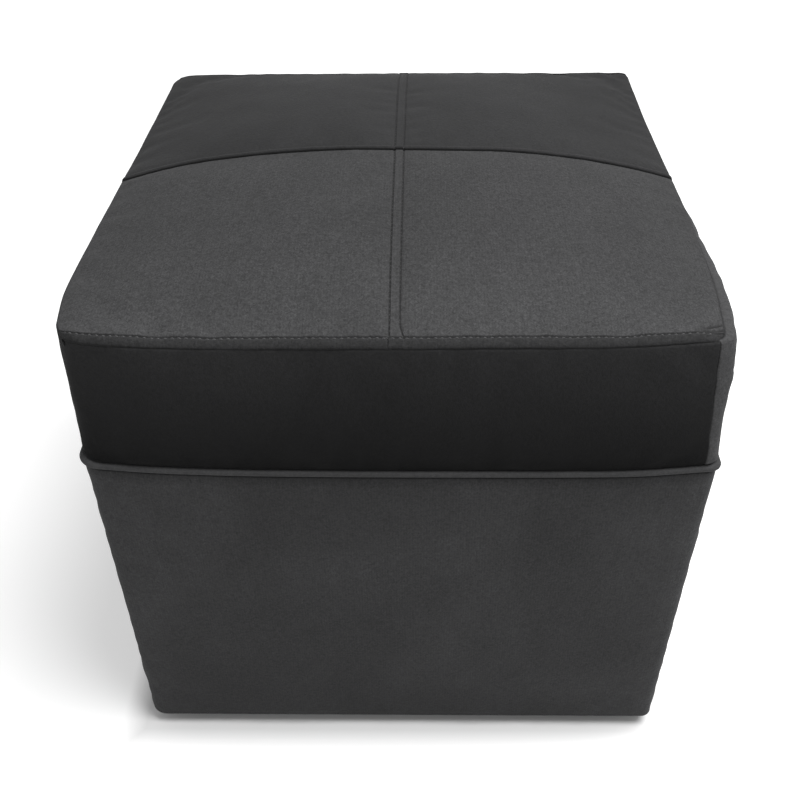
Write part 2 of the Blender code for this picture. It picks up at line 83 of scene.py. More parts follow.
RIM_HALF = high("rim_roll", "x")
RIM_Z, RIM_TOP = low("rim_roll", "z"), high("rim_roll", "z")
HEM_Z = low("band_front", "z")
HEM_HALF = high("band_right", "x")
SEAM_Z = low("seat_front_left", "z")
CROWN_Z = high("seat_front_left", "z")
HEM_MOUTH = high("lid_lining", "x")
COVER_Z, COVER_TOP = low("body_cover", "z"), high("body_cover", "z")
COVER_HALF = high("body_cover", "x")
WALL_OUT, WALL_IN = high("right_panel", "x"), low("right_panel", "x")
WALL_TOP = high("right_panel", "z")
RAIL_Y, RAIL_Z = low("hinge_rail", "y"), low("hinge_rail", "z")
POST_LEG = WALL_IN - low("corner_post_front_right", "x")
FLOOR_TOP = low("storage_lining", "z")
BOARD_TOP = high("lid_board", "z")
BOARD_HALF = high("lid_board", "x")

# The soft outside lies a little inside the rim at the seat's seam and at the foot of the cover
SEAM_HALF = RIM_HALF - 0.008
COVER_LOW_HALF = RIM_HALF - 0.004
CROWN_POWER = 2.7  # how square the seat's crown is
STUFFING_RADIUS = {"front_left": 0.012, "front_right": 0.012, "rear_right": 0.012, "rear_left": 0.012}

# Fabric
CLOTH = 0.0009
LINING = 0.0007
SEAM_ROLL = 0.0026  # radius of the rolled edges at the seat's outer seam
PERIMETER_STITCH = 0.0056  # the topstitch's distance from that seam
TWIN_STITCH = 0.0037  # each row's distance from the middle of the lapped seam
LAP_EDGE = 0.0043  # the lapped seam's folded edge, left of its middle
LAP_ROLL = 0.0007  # how far in the folded edge is rounded
LAP_RISE = 0.0005  # the strip between the two rows, over the seat beside it
STITCH_PITCH = 0.0046
STITCH_LENGTH = 0.0031
THREAD = 0.00042  # radius
STAPLE_CROWN = 0.0095
STAPLE_WIRE = 0.0006
STAPLE_LEG = 0.0018
BAND_ROLL = 0.0026  # radius of the bands' rolled edges, at the seam and at the hem
COVER_TOP_ROLL, COVER_LOW_ROLL = 0.0016, 0.0020
GAP = 0.0003  # between the storage lining and the boards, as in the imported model
LINING_ROOM = 0.0012  # from the storage walls' boards to the middle of their lining
LINE_STEP = 0.0040  # the usual distance between grid lines
SEAM_WIDTH = 0.0016  # how far an upright seam's fold reaches to each side
SEAM_STEPS = np.array([0, 0.00005, 0.0003, 0.0007, 0.0012])  # grid lines within it

SIDES = {"front": (0, -1), "right": (1, 0), "rear": (0, 1), "left": (-1, 0)}
CORNERS = {"front_left": (-1, -1), "front_right": (1, -1), "rear_right": (1, 1), "rear_left": (-1, 1)}

# How far each edge of the lid and box bows out, in metres, at even steps along it from -1 to 1.
# The sides run from front to rear, and the front and rear from left to right.
SEAM_BOW = {
    "front": (0, 0.0062, 0.0078, 0.0080, 0.0080, 0.0078, 0.0074, 0.0052, 0),
    "rear": (0, 0.0005, 0.0008, 0.0008, 0.0008, 0.0008, 0.0008, 0.0005, 0),
    "left": (0.0062, 0.0120, 0.0112, 0.0092, 0.0068, 0.0044, 0.0026, 0.0010, 0),
    "right": (0, 0.0046, 0.0062, 0.0058, 0.0040, 0.0022, 0.0008, 0.0002, 0),
}
HEM_BOW = {
    "front": (0, 0.0052, 0.0078, 0.0088, 0.0092, 0.0092, 0.0091, 0.0080, 0.0026),
    "rear": (0,) * 9,
    "left": (-0.0006, 0.0004, 0.0012, 0.0018, 0.0020, 0.0016, 0.0012, 0.0005, 0),
    "right": (0.0038, 0.0046, 0.0044, 0.0036, 0.0028, 0.0020, 0.0012, 0.0005, 0),
}
RIM_BOW = HEM_BOW | {
    "left": (0.0016, 0.0022, 0.0026, 0.0026, 0.0024, 0.0018, 0.0012, 0.0005, 0),
    "right": (0.0054, 0.0054, 0.0046, 0.0036, 0.0028, 0.0020, 0.0012, 0.0005, 0),
}
FLAT_BOW = {side: (0,) * 9 for side in SIDES}
LOW_BOW = FLAT_BOW | {"right": (0.0016, 0.0016, 0.0014, 0.0010, 0.0006, 0.0003, 0, 0, 0)}
SEAM_RADIUS = {"front_left": 0.020, "front_right": 0.007, "rear_right": 0.010, "rear_left": 0.021}
HEM_RADIUS = {"front_left": 0.018, "front_right": 0.010, "rear_right": 0.012, "rear_left": 0.014}
RIM_RADIUS = {"front_left": 0.015, "front_right": 0.008, "rear_right": 0.012, "rear_left": 0.014}
LOW_RADIUS = {"front_left": 0.014, "front_right": 0.009, "rear_right": 0.012, "rear_left": 0.013}

# How far each band's first upright seam lies before its own first corner, going round by the right,
# at the hem and at the seat's seam
WRAP = {
    "front": (0.020, 0.020),
    "right": (0.0100, 0.0034),
    "rear": (0.012, 0.012),
    "left": (0.012, 0.012),
}
CHEEK = 0.0074  # how far the right band's overfull front corner stands out
CHEEK_RISE = (0, 0.02, 0.08, 0.26, 0.60, 0.92, 1, 1, 0.95)  # and its share of that from hem to seam

# How far the simulated padding swells past its seams
SEAT_SWELL = 0.0034
BAND_SWELL = {"front": 0.0022, "right": 0.0060, "rear": 0.0022, "left": 0.0014}
BODY_SWELL = {"front": 0.0016, "right": 0.0020, "rear": 0.0018, "left": 0.0020}
SIM_CELLS = 48  # across the seat
SIM_FRAMES = 20
SIM_PRESSURE = 4.0

# The camera, fitted to the photo's outline, and the studio
CAMERA_PITCH, CAMERA_YAW, CAMERA_ROLL = math.radians(39.16), math.radians(-1.28), math.radians(-0.804)
CAMERA_PLACE = (0.0170, -0.7793, 0.8292)
CAMERA_LENS, CAMERA_SENSOR = 48.07, 36
FLOOR_COLOUR = 0.82
FLOOR_LIFT = 0.35  # the floor's own glow near the object, faded to none right round it as a painted contact shadow
WORLD_LIGHT = 0.50
KEY_POWER = 62
KEY_PLACE, KEY_SIZE = Vector((0.75, -0.30, 2.2)), 1.5

rng = np.random.default_rng(7)


# Curves and grids


def blend_weights(at, count):
    """Rows of weights that read a smooth curve through count even knots from -1 to 1."""
    place = (np.clip(np.asarray(at, float), -1, 1) + 1) / 2 * (count - 1)
    first = np.minimum(place.astype(int), count - 2)
    t = place - first
    rows = np.zeros((len(t), count))
    cubic = (
        (-t + 2 * t**2 - t**3) / 2,
        (2 - 5 * t**2 + 3 * t**3) / 2,
        (t + 4 * t**2 - 3 * t**3) / 2,
        (-(t**2) + t**3) / 2,
    )
    for step, weight in enumerate(cubic):
        knot = np.clip(first + step - 1, 0, count - 1)
        np.add.at(rows, (np.arange(len(t)), knot), weight)
    return rows


def curve(knots, at):
    at = np.asarray(at, float)
    return (blend_weights(at.ravel(), len(knots)) @ np.asarray(knots, float)).reshape(at.shape)


def runs(*parts):
    """Rising positions: each part is (start, end, step), and its end is the next one's start."""
    out = []
    for start, end, step in parts:
        count = max(1, round(abs(end - start) / step))
        out.append(np.linspace(start, end, count, endpoint=False))
    out.append([parts[-1][1]])
    return np.concatenate(out)


def dip(distance, width):
    """A rounded notch: 1 at its middle and 0 from width outwards."""
    near = np.clip(1 - np.abs(distance) / width, 0, 1)
    return near * near * (3 - 2 * near)


def ramp(value, start, end):
    t = np.clip((value - start) / (end - start), 0, 1)
    return t * t * (3 - 2 * t)


def ripple(x, y, size, seed, octaves=3):
    """Smooth waves about 1 high that don't repeat within the object; size is the longest wave."""
    source = np.random.default_rng(seed)
    total = np.zeros(np.broadcast(x, y).shape)
    for octave in range(octaves):
        for _ in range(5):
            angle, phase = source.uniform(0, 2 * math.pi, 2)
            length = size * source.uniform(0.6, 1.3) / 2**octave
            wave = (x * math.cos(angle) + y * math.sin(angle)) * 2 * math.pi / length + phase
            total += np.sin(wave) / 5 / 1.6**octave
    return total


# Where things are in plan


def corner_value(u, v, radii):
    front = np.where(u < 0, radii["front_left"], radii["front_right"])
    rear = np.where(u < 0, radii["rear_left"], radii["rear_right"])
    return np.where(v < 0, front, rear)


def plan(u, v, half, bows, radii, out=0.0):
    """(x, y) at shares u, v of the way out to a bowed square with rounded corners.

    out moves the square's edge outwards.
    """
    u, v, half, out = np.broadcast_arrays(u, v, half, out)
    radius = np.maximum(corner_value(u, v, radii) + np.minimum(out, 0), 0.0004)
    reach = half + out
    p = np.clip((np.abs(u) * reach - (reach - radius)) / radius, 0, 1)
    q = np.clip((np.abs(v) * reach - (reach - radius)) / radius, 0, 1)
    x = np.minimum(np.abs(u) * reach, reach - radius) + radius * p * np.sqrt(1 - q * q / 2)
    y = np.minimum(np.abs(v) * reach, reach - radius) + radius * q * np.sqrt(1 - p * p / 2)
    x += u * u * np.where(u < 0, curve(bows["left"], v), curve(bows["right"], v))
    y += v * v * np.where(v < 0, curve(bows["front"], u), curve(bows["rear"], u))
    return np.sign(u) * x, np.sign(v) * y


def mixed(a, b, share):
    """A ring of places between two outlines, each (half, bows, radii)."""

    def place(u, v, out=0.0):
        ax, ay = plan(u, v, a[0], a[1], a[2], out)
        bx, by = plan(u, v, b[0], b[1], b[2], out)
        return ax + (bx - ax) * share, ay + (by - ay) * share

    return place


HEM_OUTLINE = (HEM_HALF, HEM_BOW, HEM_RADIUS)
SEAM_OUTLINE = (SEAM_HALF, SEAM_BOW, SEAM_RADIUS)
COVER_OUTLINE = (COVER_HALF, RIM_BOW, RIM_RADIUS)
LOW_OUTLINE = (COVER_LOW_HALF, LOW_BOW, LOW_RADIUS)


def lid_wall(u, v, z, out=0.0):
    x, y = mixed(HEM_OUTLINE, SEAM_OUTLINE, (z - HEM_Z) / (SEAM_Z - HEM_Z))(u, v, out)
    return np.stack(np.broadcast_arrays(x, y, z), -1)


def base_wall(u, v, z, out=0.0):
    x, y = mixed(LOW_OUTLINE, COVER_OUTLINE, (z - COVER_Z) / (COVER_TOP - COVER_Z))(u, v, out)
    return np.stack(np.broadcast_arrays(x, y, z), -1)


def seat_rise(u, v):
    """The crown's height above the outer seam."""
    return (CROWN_Z - SEAM_Z) * (1 - np.abs(u) ** CROWN_POWER) * (1 - np.abs(v) ** CROWN_POWER)


def seat_base(u, v):
    x, y = plan(u, v, SEAM_HALF, SEAM_BOW, SEAM_RADIUS)
    return np.stack([x, y, SEAM_Z + seat_rise(u, v)], -1)


def side_shares(side, along):
    """Shares (u, v) on a side's edge for places along it."""
    nx, ny = SIDES[side]
    return (nx + 0 * along, along) if nx else (along, ny + 0 * along)


def clip_behind(points, up):
    """Keeps points inside the bevelled rear edge beside the hinge line; up is 1 for the lid, -1 for the box."""
    angle = OPEN_ANGLE / 2 + math.radians(1)
    outward = np.array([0, math.sin(angle), -up * math.cos(angle)])
    past = (points - (0, AXIS_Y, JOINT_Z)) @ outward + 0.0003
    return points - np.maximum(past, 0)[..., None] * outward


# Mesh makers


def mesh_piece(name, points, faces, material, smooth=True):
    mesh = bpy.data.meshes.new(name)
    mesh.from_pydata(np.asarray(points, float).reshape(-1, 3).tolist(), [], faces)
    mesh.validate()
    mesh.polygons.foreach_set("use_smooth", [smooth] * len(mesh.polygons))
    mesh.update()
    obj = bpy.data.objects.new(name, mesh)
    bpy.context.scene.collection.objects.link(obj)
    if material:
        mesh.materials.append(material)
    return obj


def mark_painted_shading(obj, amounts):
    """Stores at each point its painted shading, which the velvet reads: painted shade above 0, painted highlight
    below 0.
    """
    attribute = obj.data.attributes.new("crushed", "FLOAT", "POINT")
    attribute.data.foreach_set("value", np.asarray(amounts, float).ravel())


def grid_faces(rows, columns, closed=False, start=0, flip=False):
    """Quads over rows of points; closed joins the last column to the first."""
    r, c = np.meshgrid(np.arange(rows - 1), np.arange(columns if closed else columns - 1), indexing="ij")
    nxt = (c + 1) % columns
    near, far = r * columns, (r + 1) * columns
    quads = np.stack([near + c, near + nxt, far + nxt, far + c], -1).reshape(-1, 4) + start
    return (quads[:, ::-1] if flip else quads).tolist()


def closed_shell(name, outer, inner, material, steps=3, closed=False):
    """A closed body between two grids of the same size, joined round their edges; outer's faces look out."""
    rows, columns = outer.shape[:2]
    count = rows * columns
    faces = grid_faces(rows, columns, closed) + grid_faces(rows, columns, closed, count, flip=True)
    points = [outer.reshape(-1, 3), inner.reshape(-1, 3)]
    start = 2 * count
    index = np.arange(count).reshape(rows, columns)
    if closed:
        borders = [index[0, ::-1], index[-1]]
    else:
        round_it = [index[0, :-1], index[:-1, -1], index[-1, :0:-1], index[:0:-1, 0]]
        borders = [np.concatenate(round_it)[::-1]]
    for border in borders:
        near, far = points[0][border], points[1][border]
        rings = [border]
        for step in range(1, steps):
            points.append(near + (far - near) * step / steps)
            rings.append(start + np.arange(len(border)))
            start += len(border)
        rings.append(border + count)
        for a, b in zip(rings, rings[1:]):
            a2, b2 = np.roll(a, -1), np.roll(b, -1)
            faces += np.stack([a, a2, b2, b], -1).tolist()
    return mesh_piece(name, np.concatenate(points), faces, material)


def thicken(obj, thickness):
    """Gives a single layer of cloth its thickness, inwards."""
    solid = obj.modifiers.new("Thickness", "SOLIDIFY")
    solid.thickness = thickness
    solid.offset = -1
    return obj


def apply_modifiers(obj):
    bpy.context.view_layer.update()
    made = bpy.data.meshes.new_from_object(obj.evaluated_get(bpy.context.evaluated_depsgraph_get()))
    old, name = obj.data, obj.data.name
    obj.modifiers.clear()
    obj.data = made
    bpy.data.meshes.remove(old)
    made.name = name
    return obj


def notch(obj, boxes):
    """Cuts boxes, each (low corner, high corner), out of a piece."""
    for number, (lo, hi) in enumerate(boxes):
        lo, hi = Vector(lo), Vector(hi)
        bm = bmesh.new()
        place = Matrix.Translation((lo + hi) / 2) @ Matrix.Diagonal((*(hi - lo), 1))
        bmesh.ops.create_cube(bm, size=1, matrix=place)
        mesh = bpy.data.meshes.new("cutter")
        bm.to_mesh(mesh)
        bm.free()
        cutter = bpy.data.objects.new("cutter", mesh)
        bpy.context.scene.collection.objects.link(cutter)
        cut = obj.modifiers.new("Notch", "BOOLEAN")
        cut.object = cutter
        cut.solver = "EXACT"
        apply_modifiers(obj)
        bpy.data.objects.remove(cutter)
    obj.data.polygons.foreach_set("use_smooth", [True] * len(obj.data.polygons))
    return obj


def hinge_boxes():
    """The room left in soft pieces round each hinge."""
    boxes = []
    for side in ("left", "right"):
        (x0, y0, z0), (x1, _, _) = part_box("hinge_leaf_base_" + side)
        pin0, pin1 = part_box("hinge_pin_" + side)
        x0, x1 = min(x0, pin0.x) - 0.0008, max(x1, pin1.x) + 0.0008
        rise = JOINT_Z - z0 + 0.0002
        low_corner = (x0, y0 - 0.0004, JOINT_Z - rise)
        boxes.append((low_corner, (x1, AXIS_Y + rise + 0.0002, JOINT_Z + rise)))
    return boxes


# Cloth simulation


def swollen(points, faces, held, most):
    """How far each point moves when air pressure puffs a skin that is held along its seams."""
    scene = bpy.context.scene
    obj = mesh_piece("simulated_skin", points, faces, None)
    group = obj.vertex_groups.new(name="held")
    group.add([int(i) for i in np.flatnonzero(held)], 1.0, "REPLACE")
    cloth = obj.modifiers.new("Cloth", "CLOTH")
    settings = cloth.settings
    settings.quality = 5
    settings.mass = 0.3
    settings.tension_stiffness = settings.compression_stiffness = 15
    settings.shear_stiffness = 5
    settings.bending_stiffness = 0.5
    settings.tension_damping = settings.compression_damping = 12
    settings.shear_damping = 12
    settings.use_pressure = True
    settings.uniform_pressure_force = SIM_PRESSURE
    settings.shrink_min = -0.008
    settings.vertex_group_mass = "held"
    settings.pin_stiffness = 1.0
    settings.effector_weights.gravity = 0
    cloth.collision_settings.use_collision = False
    cloth.point_cache.frame_start, cloth.point_cache.frame_end = 1, SIM_FRAMES
    for step in range(1, SIM_FRAMES + 1):
        scene.frame_set(step)
    moved = obj.evaluated_get(bpy.context.evaluated_depsgraph_get()).data
    shape = np.zeros(len(points) * 3)
    moved.vertices.foreach_get("co", shape)
    shift = shape.reshape(-1, 3) - points
    bpy.data.objects.remove(obj)
    scene.frame_set(1)
    length = np.linalg.norm(shift, axis=1)
    limit = np.tanh(length / most) * most
    return shift * (limit / np.maximum(length, 1e-9))[:, None]


def puff(shape, outward):
    rows, columns = shape
    s, t = np.linspace(0, math.pi, rows), np.linspace(0, math.pi, columns)
    dome = np.sqrt(np.outer(np.sin(s), np.sin(t)).clip(0))
    return dome[..., None] * outward * 0.02


def once_round(count):
    """Count places along each side, then shares (u, v) once round the outside without repeating a corner."""
    share = np.linspace(-1, 1, count)
    order = {"front": share, "right": share, "rear": share[::-1], "left": share[::-1]}
    loops = [side_shares(side, places[:-1]) for side, places in order.items()]
    us, vs = (np.concatenate([loop[axis] for loop in loops]) for axis in (0, 1))
    return order, us, vs


def simulate_lid():
    """The lid's swelling: a grid for the seat, and for each band a grid from seam to hem."""
    n, m = SIM_CELLS + 1, 13
    order, us, vs = once_round(n)
    share = order["front"]
    v, u = np.meshgrid(share, share, indexing="ij")
    top = seat_base(u, v)
    held_top = (np.abs(u) < 1e-6) | (np.abs(v) < 1e-6) | (np.abs(u) > 0.999) | (np.abs(v) > 0.999)
    points, held, faces = [top.reshape(-1, 3)], [held_top.ravel()], grid_faces(n, n)
    index = np.arange(n * n).reshape(n, n)
    edges = {"front": index[0], "right": index[:, -1], "rear": index[-1, ::-1], "left": index[::-1, 0]}
    heights = np.linspace(SEAM_Z, HEM_Z, m)
    start = n * n
    loop = np.concatenate([edges[side][:-1] for side in edges])
    wall = lid_wall(us[None, :], vs[None, :], heights[1:, None])
    points.append(wall.reshape(-1, 3))
    corner = (np.abs(us) > 0.999) & (np.abs(vs) > 0.999)
    held_wall = np.repeat(corner[None, :], m - 1, 0)
    held_wall[-1] = True
    held.append(held_wall.ravel())
    columns = len(loop)
    rows = np.concatenate([loop[None, :], start + np.arange((m - 1) * columns).reshape(m - 1, columns)])
    for a, b in zip(rows, rows[1:]):
        faces += np.stack([a, b, np.roll(b, -1), np.roll(a, -1)], -1).tolist()
    faces.append(rows[-1][::-1].tolist())
    shift = swollen(np.concatenate(points), faces, np.concatenate(held), max(BAND_SWELL.values()))
    if shift is None:
        half = (n + 1) // 2
        quarter = puff((half, half), np.array([0, 0, 1]))
        seat = np.zeros((n, n, 3))
        for a in (0, half - 1):
            for b in (0, half - 1):
                seat[a : a + half, b : b + half] = quarter
        return seat, {side: puff((m, n), np.array([*SIDES[side], 0])) for side in SIDES}
    seat = shift[: n * n].reshape(n, n, 3)
    below = shift[start:].reshape(m - 1, columns, 3)
    bands = {}
    for number, side in enumerate(edges):
        take = np.arange(number * (n - 1), (number + 1) * (n - 1) + 1) % columns
        band = np.concatenate([shift[loop[take]][None], below[:, take]])
        bands[side] = band if order[side][0] < 0 else band[:, ::-1]
    return seat, bands


def simulate_body():
    """The box's swelling, for each side a grid from the cover's top to its bottom."""
    n, m = SIM_CELLS + 1, 31
    order, us, vs = once_round(n)
    heights = np.linspace(COVER_TOP, COVER_Z, m)
    points = base_wall(us[None, :], vs[None, :], heights[:, None])
    corner = (np.abs(us) > 0.999) & (np.abs(vs) > 0.999)
    held = np.repeat(corner[None, :], m, 0)
    held[0] = held[-1] = True
    columns = len(us)
    faces = grid_faces(m, columns, closed=True, flip=True)
    rows = np.arange(m * columns).reshape(m, columns)
    faces += [rows[0].tolist(), rows[-1][::-1].tolist()]
    shift = swollen(points.reshape(-1, 3), faces, held.ravel(), max(BODY_SWELL.values()) * 1.5)
    sides = {}
    for number, side in enumerate(order):
        if shift is None:
            sides[side] = puff((m, n), np.array([*SIDES[side], 0]))
            continue
        take = np.arange(number * (n - 1), (number + 1) * (n - 1) + 1) % columns
        part = shift.reshape(m, columns, 3)[:, take]
        sides[side] = part if order[side][0] < 0 else part[:, ::-1]
    return sides


def scaled(field, most):
    """The field with its furthest point moved as far as most."""
    return field * (most / max(np.linalg.norm(field, axis=-1).max(), 1e-9))


# Materials


def graph(name):
    material = bpy.data.materials.new(name)
    material.use_nodes = True
    tree = material.node_tree
    return material, tree, tree.nodes["Principled BSDF"]


def node(tree, kind, inputs=None, **settings):
    made = tree.nodes.new("ShaderNode" + kind)
    for key, value in settings.items():
        setattr(made, key, value)
    for key, value in (inputs or {}).items():
        if isinstance(value, bpy.types.NodeSocket):
            tree.links.new(value, made.inputs[key])
        else:
            made.inputs[key].default_value = value
    return made


def where(tree, stretch=(1, 1, 1)):
    coords = node(tree, "TexCoord").outputs["Object"]
    return node(tree, "Mapping", {"Vector": coords, "Scale": stretch}).outputs["Vector"]


def noise(tree, scale, detail=2.0, roughness=0.5, distortion=0.0, stretch=(1, 1, 1)):
    inputs = {"Vector": where(tree, stretch), "Scale": scale, "Detail": detail}
    inputs |= {"Roughness": roughness, "Distortion": distortion}
    return node(tree, "TexNoise", inputs).outputs["Fac"]


def cells(tree, scale, stretch=(1, 1, 1)):
    return node(tree, "TexVoronoi", {"Vector": where(tree, stretch), "Scale": scale}).outputs["Distance"]


def spread(tree, value, to_low, to_high, from_low=0.3, from_high=0.7):
    inputs = {"Value": value, "From Min": from_low, "From Max": from_high, "To Min": to_low, "To Max": to_high}
    return node(tree, "MapRange", inputs).outputs["Result"]


def combine(tree, operation, a, b):
    return node(tree, "Math", {0: a, 1: b}, operation=operation).outputs[0]


def product(tree, values):
    total = values[0]
    for value in values[1:]:
        total = combine(tree, "MULTIPLY", total, value)
    return total


def tinted(tree, colour, tone):
    """A colour made lighter or darker by a tone round 1."""
    return node(tree, "VectorMath", {0: (*colour,), "Scale": tone}, operation="SCALE").outputs["Vector"]


def two_colours(tree, share, a, b):
    made = node(tree, "Mix", {0: share}, data_type="RGBA")
    made.inputs[6].default_value, made.inputs[7].default_value = (*a, 1), (*b, 1)
    return made.outputs[2]


def bump(tree, shader, height, distance, strength=1.0, under=None):
    inputs = {"Height": height, "Distance": distance, "Strength": strength}
    if under:
        inputs["Normal"] = under
    made = node(tree, "Bump", inputs).outputs["Normal"]
    tree.links.new(made, shader.inputs["Normal"])
    return made


def velvet(
    name, colour, nap=0.10, mottle=0.10, grain=0.16, cords=0.0, painted_light_gradient=None, painted_crease_shade=(), sheen=0.02, shine=0.15
):
    """Short-pile velvet: brushed patches, a pebbled nap and single fibres.

    The gradient is painted light and shade along one axis: (axis, low, high, low tone, high tone).
    Each crease is painted shade round a height: (z, reach, tone).
    """
    material, tree, shader = graph(name)
    patches = noise(tree, 7, 3, 0.55, 0.8)
    brushed = noise(tree, 34, 4, 0.6, 1.2, (1, 0.55, 0.55))
    pebbles = noise(tree, 420, 2, 0.55, 0.6)
    fibres = noise(tree, 1100, 2, 0.7)
    tones = [
        spread(tree, patches, 1 - mottle, 1 + mottle),
        spread(tree, brushed, 1 - nap, 1 + nap),
        spread(tree, pebbles, 1 - grain * 0.8, 1 + grain * 0.8),
        spread(tree, fibres, 1 - grain, 1 + grain),
    ]
    if cords:
        waves = {"Vector": where(tree), "Scale": 150.0, "Distortion": 1.2, "Detail": 2.0, "Detail Scale": 2.0}
        lines = node(tree, "TexWave", waves, bands_direction="X").outputs["Fac"]
        tones.append(spread(tree, lines, 1 - cords, 1 + cords, 0, 1))
    # Painted shading stored on the mesh: painted shade in seams and creases above 0, painted highlight below 0
    painted_shading_tone = node(tree, "Attribute", attribute_name="crushed").outputs["Fac"]
    tones.append(spread(tree, painted_shading_tone, 1.35, 0.22, -0.45, 1))
    place = node(tree, "SeparateXYZ", {0: where(tree)}).outputs
    # Painted light and shade along one axis
    if painted_light_gradient:
        axis, low_end, high_end, tone_low, tone_high = painted_light_gradient
        tones.append(spread(tree, place[axis], tone_low, tone_high, low_end, high_end))
    # Painted shade in creases, round each height
    for crease_z, reach, tone in painted_crease_shade:
        away = combine(tree, "SUBTRACT", place["Z"], crease_z)
        away = node(tree, "Math", {0: away}, operation="ABSOLUTE").outputs[0]
        tones.append(spread(tree, away, tone, 1, 0, reach))
    tree.links.new(tinted(tree, colour, product(tree, tones)), shader.inputs["Base Color"])
    tree.links.new(spread(tree, brushed, 0.78, 0.95), shader.inputs["Roughness"])
    shader.inputs["Specular IOR Level"].default_value = shine
    shader.inputs["Sheen Weight"].default_value = sheen
    shader.inputs["Sheen Roughness"].default_value = 0.42
    shader.inputs["Sheen Tint"].default_value = (0.86, 0.87, 0.90, 1)
    soft = bump(tree, shader, brushed, 0.0012, 0.35)
    pebbled = bump(tree, shader, pebbles, 0.0005, 0.7, soft)
    bump(tree, shader, fibres, 0.00025, 0.7, pebbled)
    return material


def spunbond(name, colour):
    """Non-woven lining: pressed dimples in a plain grid over random fibres."""
    material, tree, shader = graph(name)
    dimples = cells(tree, 520)
    fibres = noise(tree, 900, 3, 0.7, 1.5, (1, 0.4, 0.7))
    crumple = noise(tree, 30, 3, 0.5)
    tones = [
        spread(tree, dimples, 0.75, 1.15, 0.1, 0.6),
        spread(tree, fibres, 0.7, 1.3),
        spread(tree, crumple, 0.85, 1.15),
    ]
    tone = product(tree, tones)
    tree.links.new(tinted(tree, colour, tone), shader.inputs["Base Color"])
    tree.links.new(spread(tree, dimples, 0.5, 0.75, 0.1, 0.6), shader.inputs["Roughness"])
    shader.inputs["Specular IOR Level"].default_value = 0.35
    under = bump(tree, shader, crumple, 0.002, 0.3)
    pressed = bump(tree, shader, dimples, 0.0004, 0.8, under)
    bump(tree, shader, fibres, 0.0002, 0.5, pressed)
    return material


def chipboard(name):
    material, tree, shader = graph(name)
    flakes = cells(tree, 260, (1, 0.55, 1))
    blotches = noise(tree, 60, 5, 0.65)
    dust = noise(tree, 900, 2, 0.6)
    wood = two_colours(tree, spread(tree, flakes, 0, 1, 0.1, 0.7), (0.50, 0.36, 0.20), (0.30, 0.19, 0.09))
    tone = product(tree, [spread(tree, blotches, 0.78, 1.18), spread(tree, dust, 0.9, 1.1)])
    made = node(tree, "VectorMath", {0: wood, "Scale": tone}, operation="SCALE").outputs["Vector"]
    tree.links.new(made, shader.inputs["Base Color"])
    tree.links.new(spread(tree, blotches, 0.7, 0.9), shader.inputs["Roughness"])
    bump(tree, shader, flakes, 0.0003, 0.5)
    return material


def foam_stuff(name, colour, scale, depth):
    """Cell foam or loose wadding, by the size of its cells and the depth of its pores."""
    material, tree, shader = graph(name)
    pores = cells(tree, scale)
    blotches = noise(tree, 18, 3, 0.5)
    strands = noise(tree, scale * 0.8, 4, 0.7, 2.0)
    tones = [
        spread(tree, pores, 0.82, 1.06, 0.05, 0.6),
        spread(tree, blotches, 0.93, 1.05),
        spread(tree, strands, 0.95, 1.05),
    ]
    tone = product(tree, tones)
    tree.links.new(tinted(tree, colour, tone), shader.inputs["Base Color"])
    tree.links.new(spread(tree, pores, 0.85, 1.0, 0, 0.6), shader.inputs["Roughness"])
    shader.inputs["Specular IOR Level"].default_value = 0.1
    under = bump(tree, shader, pores, depth, 0.7)
    bump(tree, shader, strands, depth, 0.4, under)
    return material


def zinc(name):
    """Zinc-plated steel with faint drawn lines, spangle and dulled patches."""
    material, tree, shader = graph(name)
    spangle = cells(tree, 300)
    lines = noise(tree, 240, 3, 0.6, 0, (0.04, 1, 1))
    dull = noise(tree, 90, 4, 0.6)
    tone = product(tree, [spread(tree, spangle, 0.88, 1.08, 0, 0.7), spread(tree, dull, 0.8, 1.08)])
    tree.links.new(tinted(tree, (0.62, 0.62, 0.60), tone), shader.inputs["Base Color"])
    shader.inputs["Metallic"].default_value = 1.0
    worn = combine(tree, "MULTIPLY", lines, dull)
    tree.links.new(spread(tree, worn, 0.25, 0.5, 0.1, 0.4), shader.inputs["Roughness"])
    bump(tree, shader, lines, 0.00008, 0.6)
    return material


def glide_plastic(name):
    """Moulded black plastic, with a fine sparked grain and pale scuffs near the floor."""
    material, tree, shader = graph(name)
    grain = noise(tree, 2200, 2, 0.6)
    scratches = noise(tree, 420, 4, 0.7, 3.0, (1, 0.2, 1))
    height = node(tree, "SeparateXYZ", {0: where(tree)}).outputs["Z"]
    worn = product(tree, [spread(tree, height, 1, 0, 0.0, 0.004), spread(tree, scratches, 0, 1, 0.45, 0.62)])
    tone = product(tree, [spread(tree, grain, 0.85, 1.15), spread(tree, worn, 1, 3.2, 0, 1)])
    tree.links.new(tinted(tree, (0.018, 0.018, 0.019), tone), shader.inputs["Base Color"])
    tree.links.new(spread(tree, worn, 0.38, 0.7, 0, 1), shader.inputs["Roughness"])
    bump(tree, shader, grain, 0.0001, 0.5)
    return material


def thread_material(name, colour):
    """Twisted polyester thread."""
    material, tree, shader = graph(name)
    waves = {"Vector": where(tree), "Scale": 900.0, "Distortion": 1.0}
    twist = node(tree, "TexWave", waves, bands_direction="DIAGONAL").outputs["Fac"]
    lint = noise(tree, 700, 2, 0.6)
    tone = product(tree, [spread(tree, twist, 0.75, 1.2, 0, 1), spread(tree, lint, 0.8, 1.2)])
    tree.links.new(tinted(tree, colour, tone), shader.inputs["Base Color"])
    tree.links.new(spread(tree, lint, 0.5, 0.7), shader.inputs["Roughness"])
    bump(tree, shader, twist, 0.0001, 0.6)
    return material
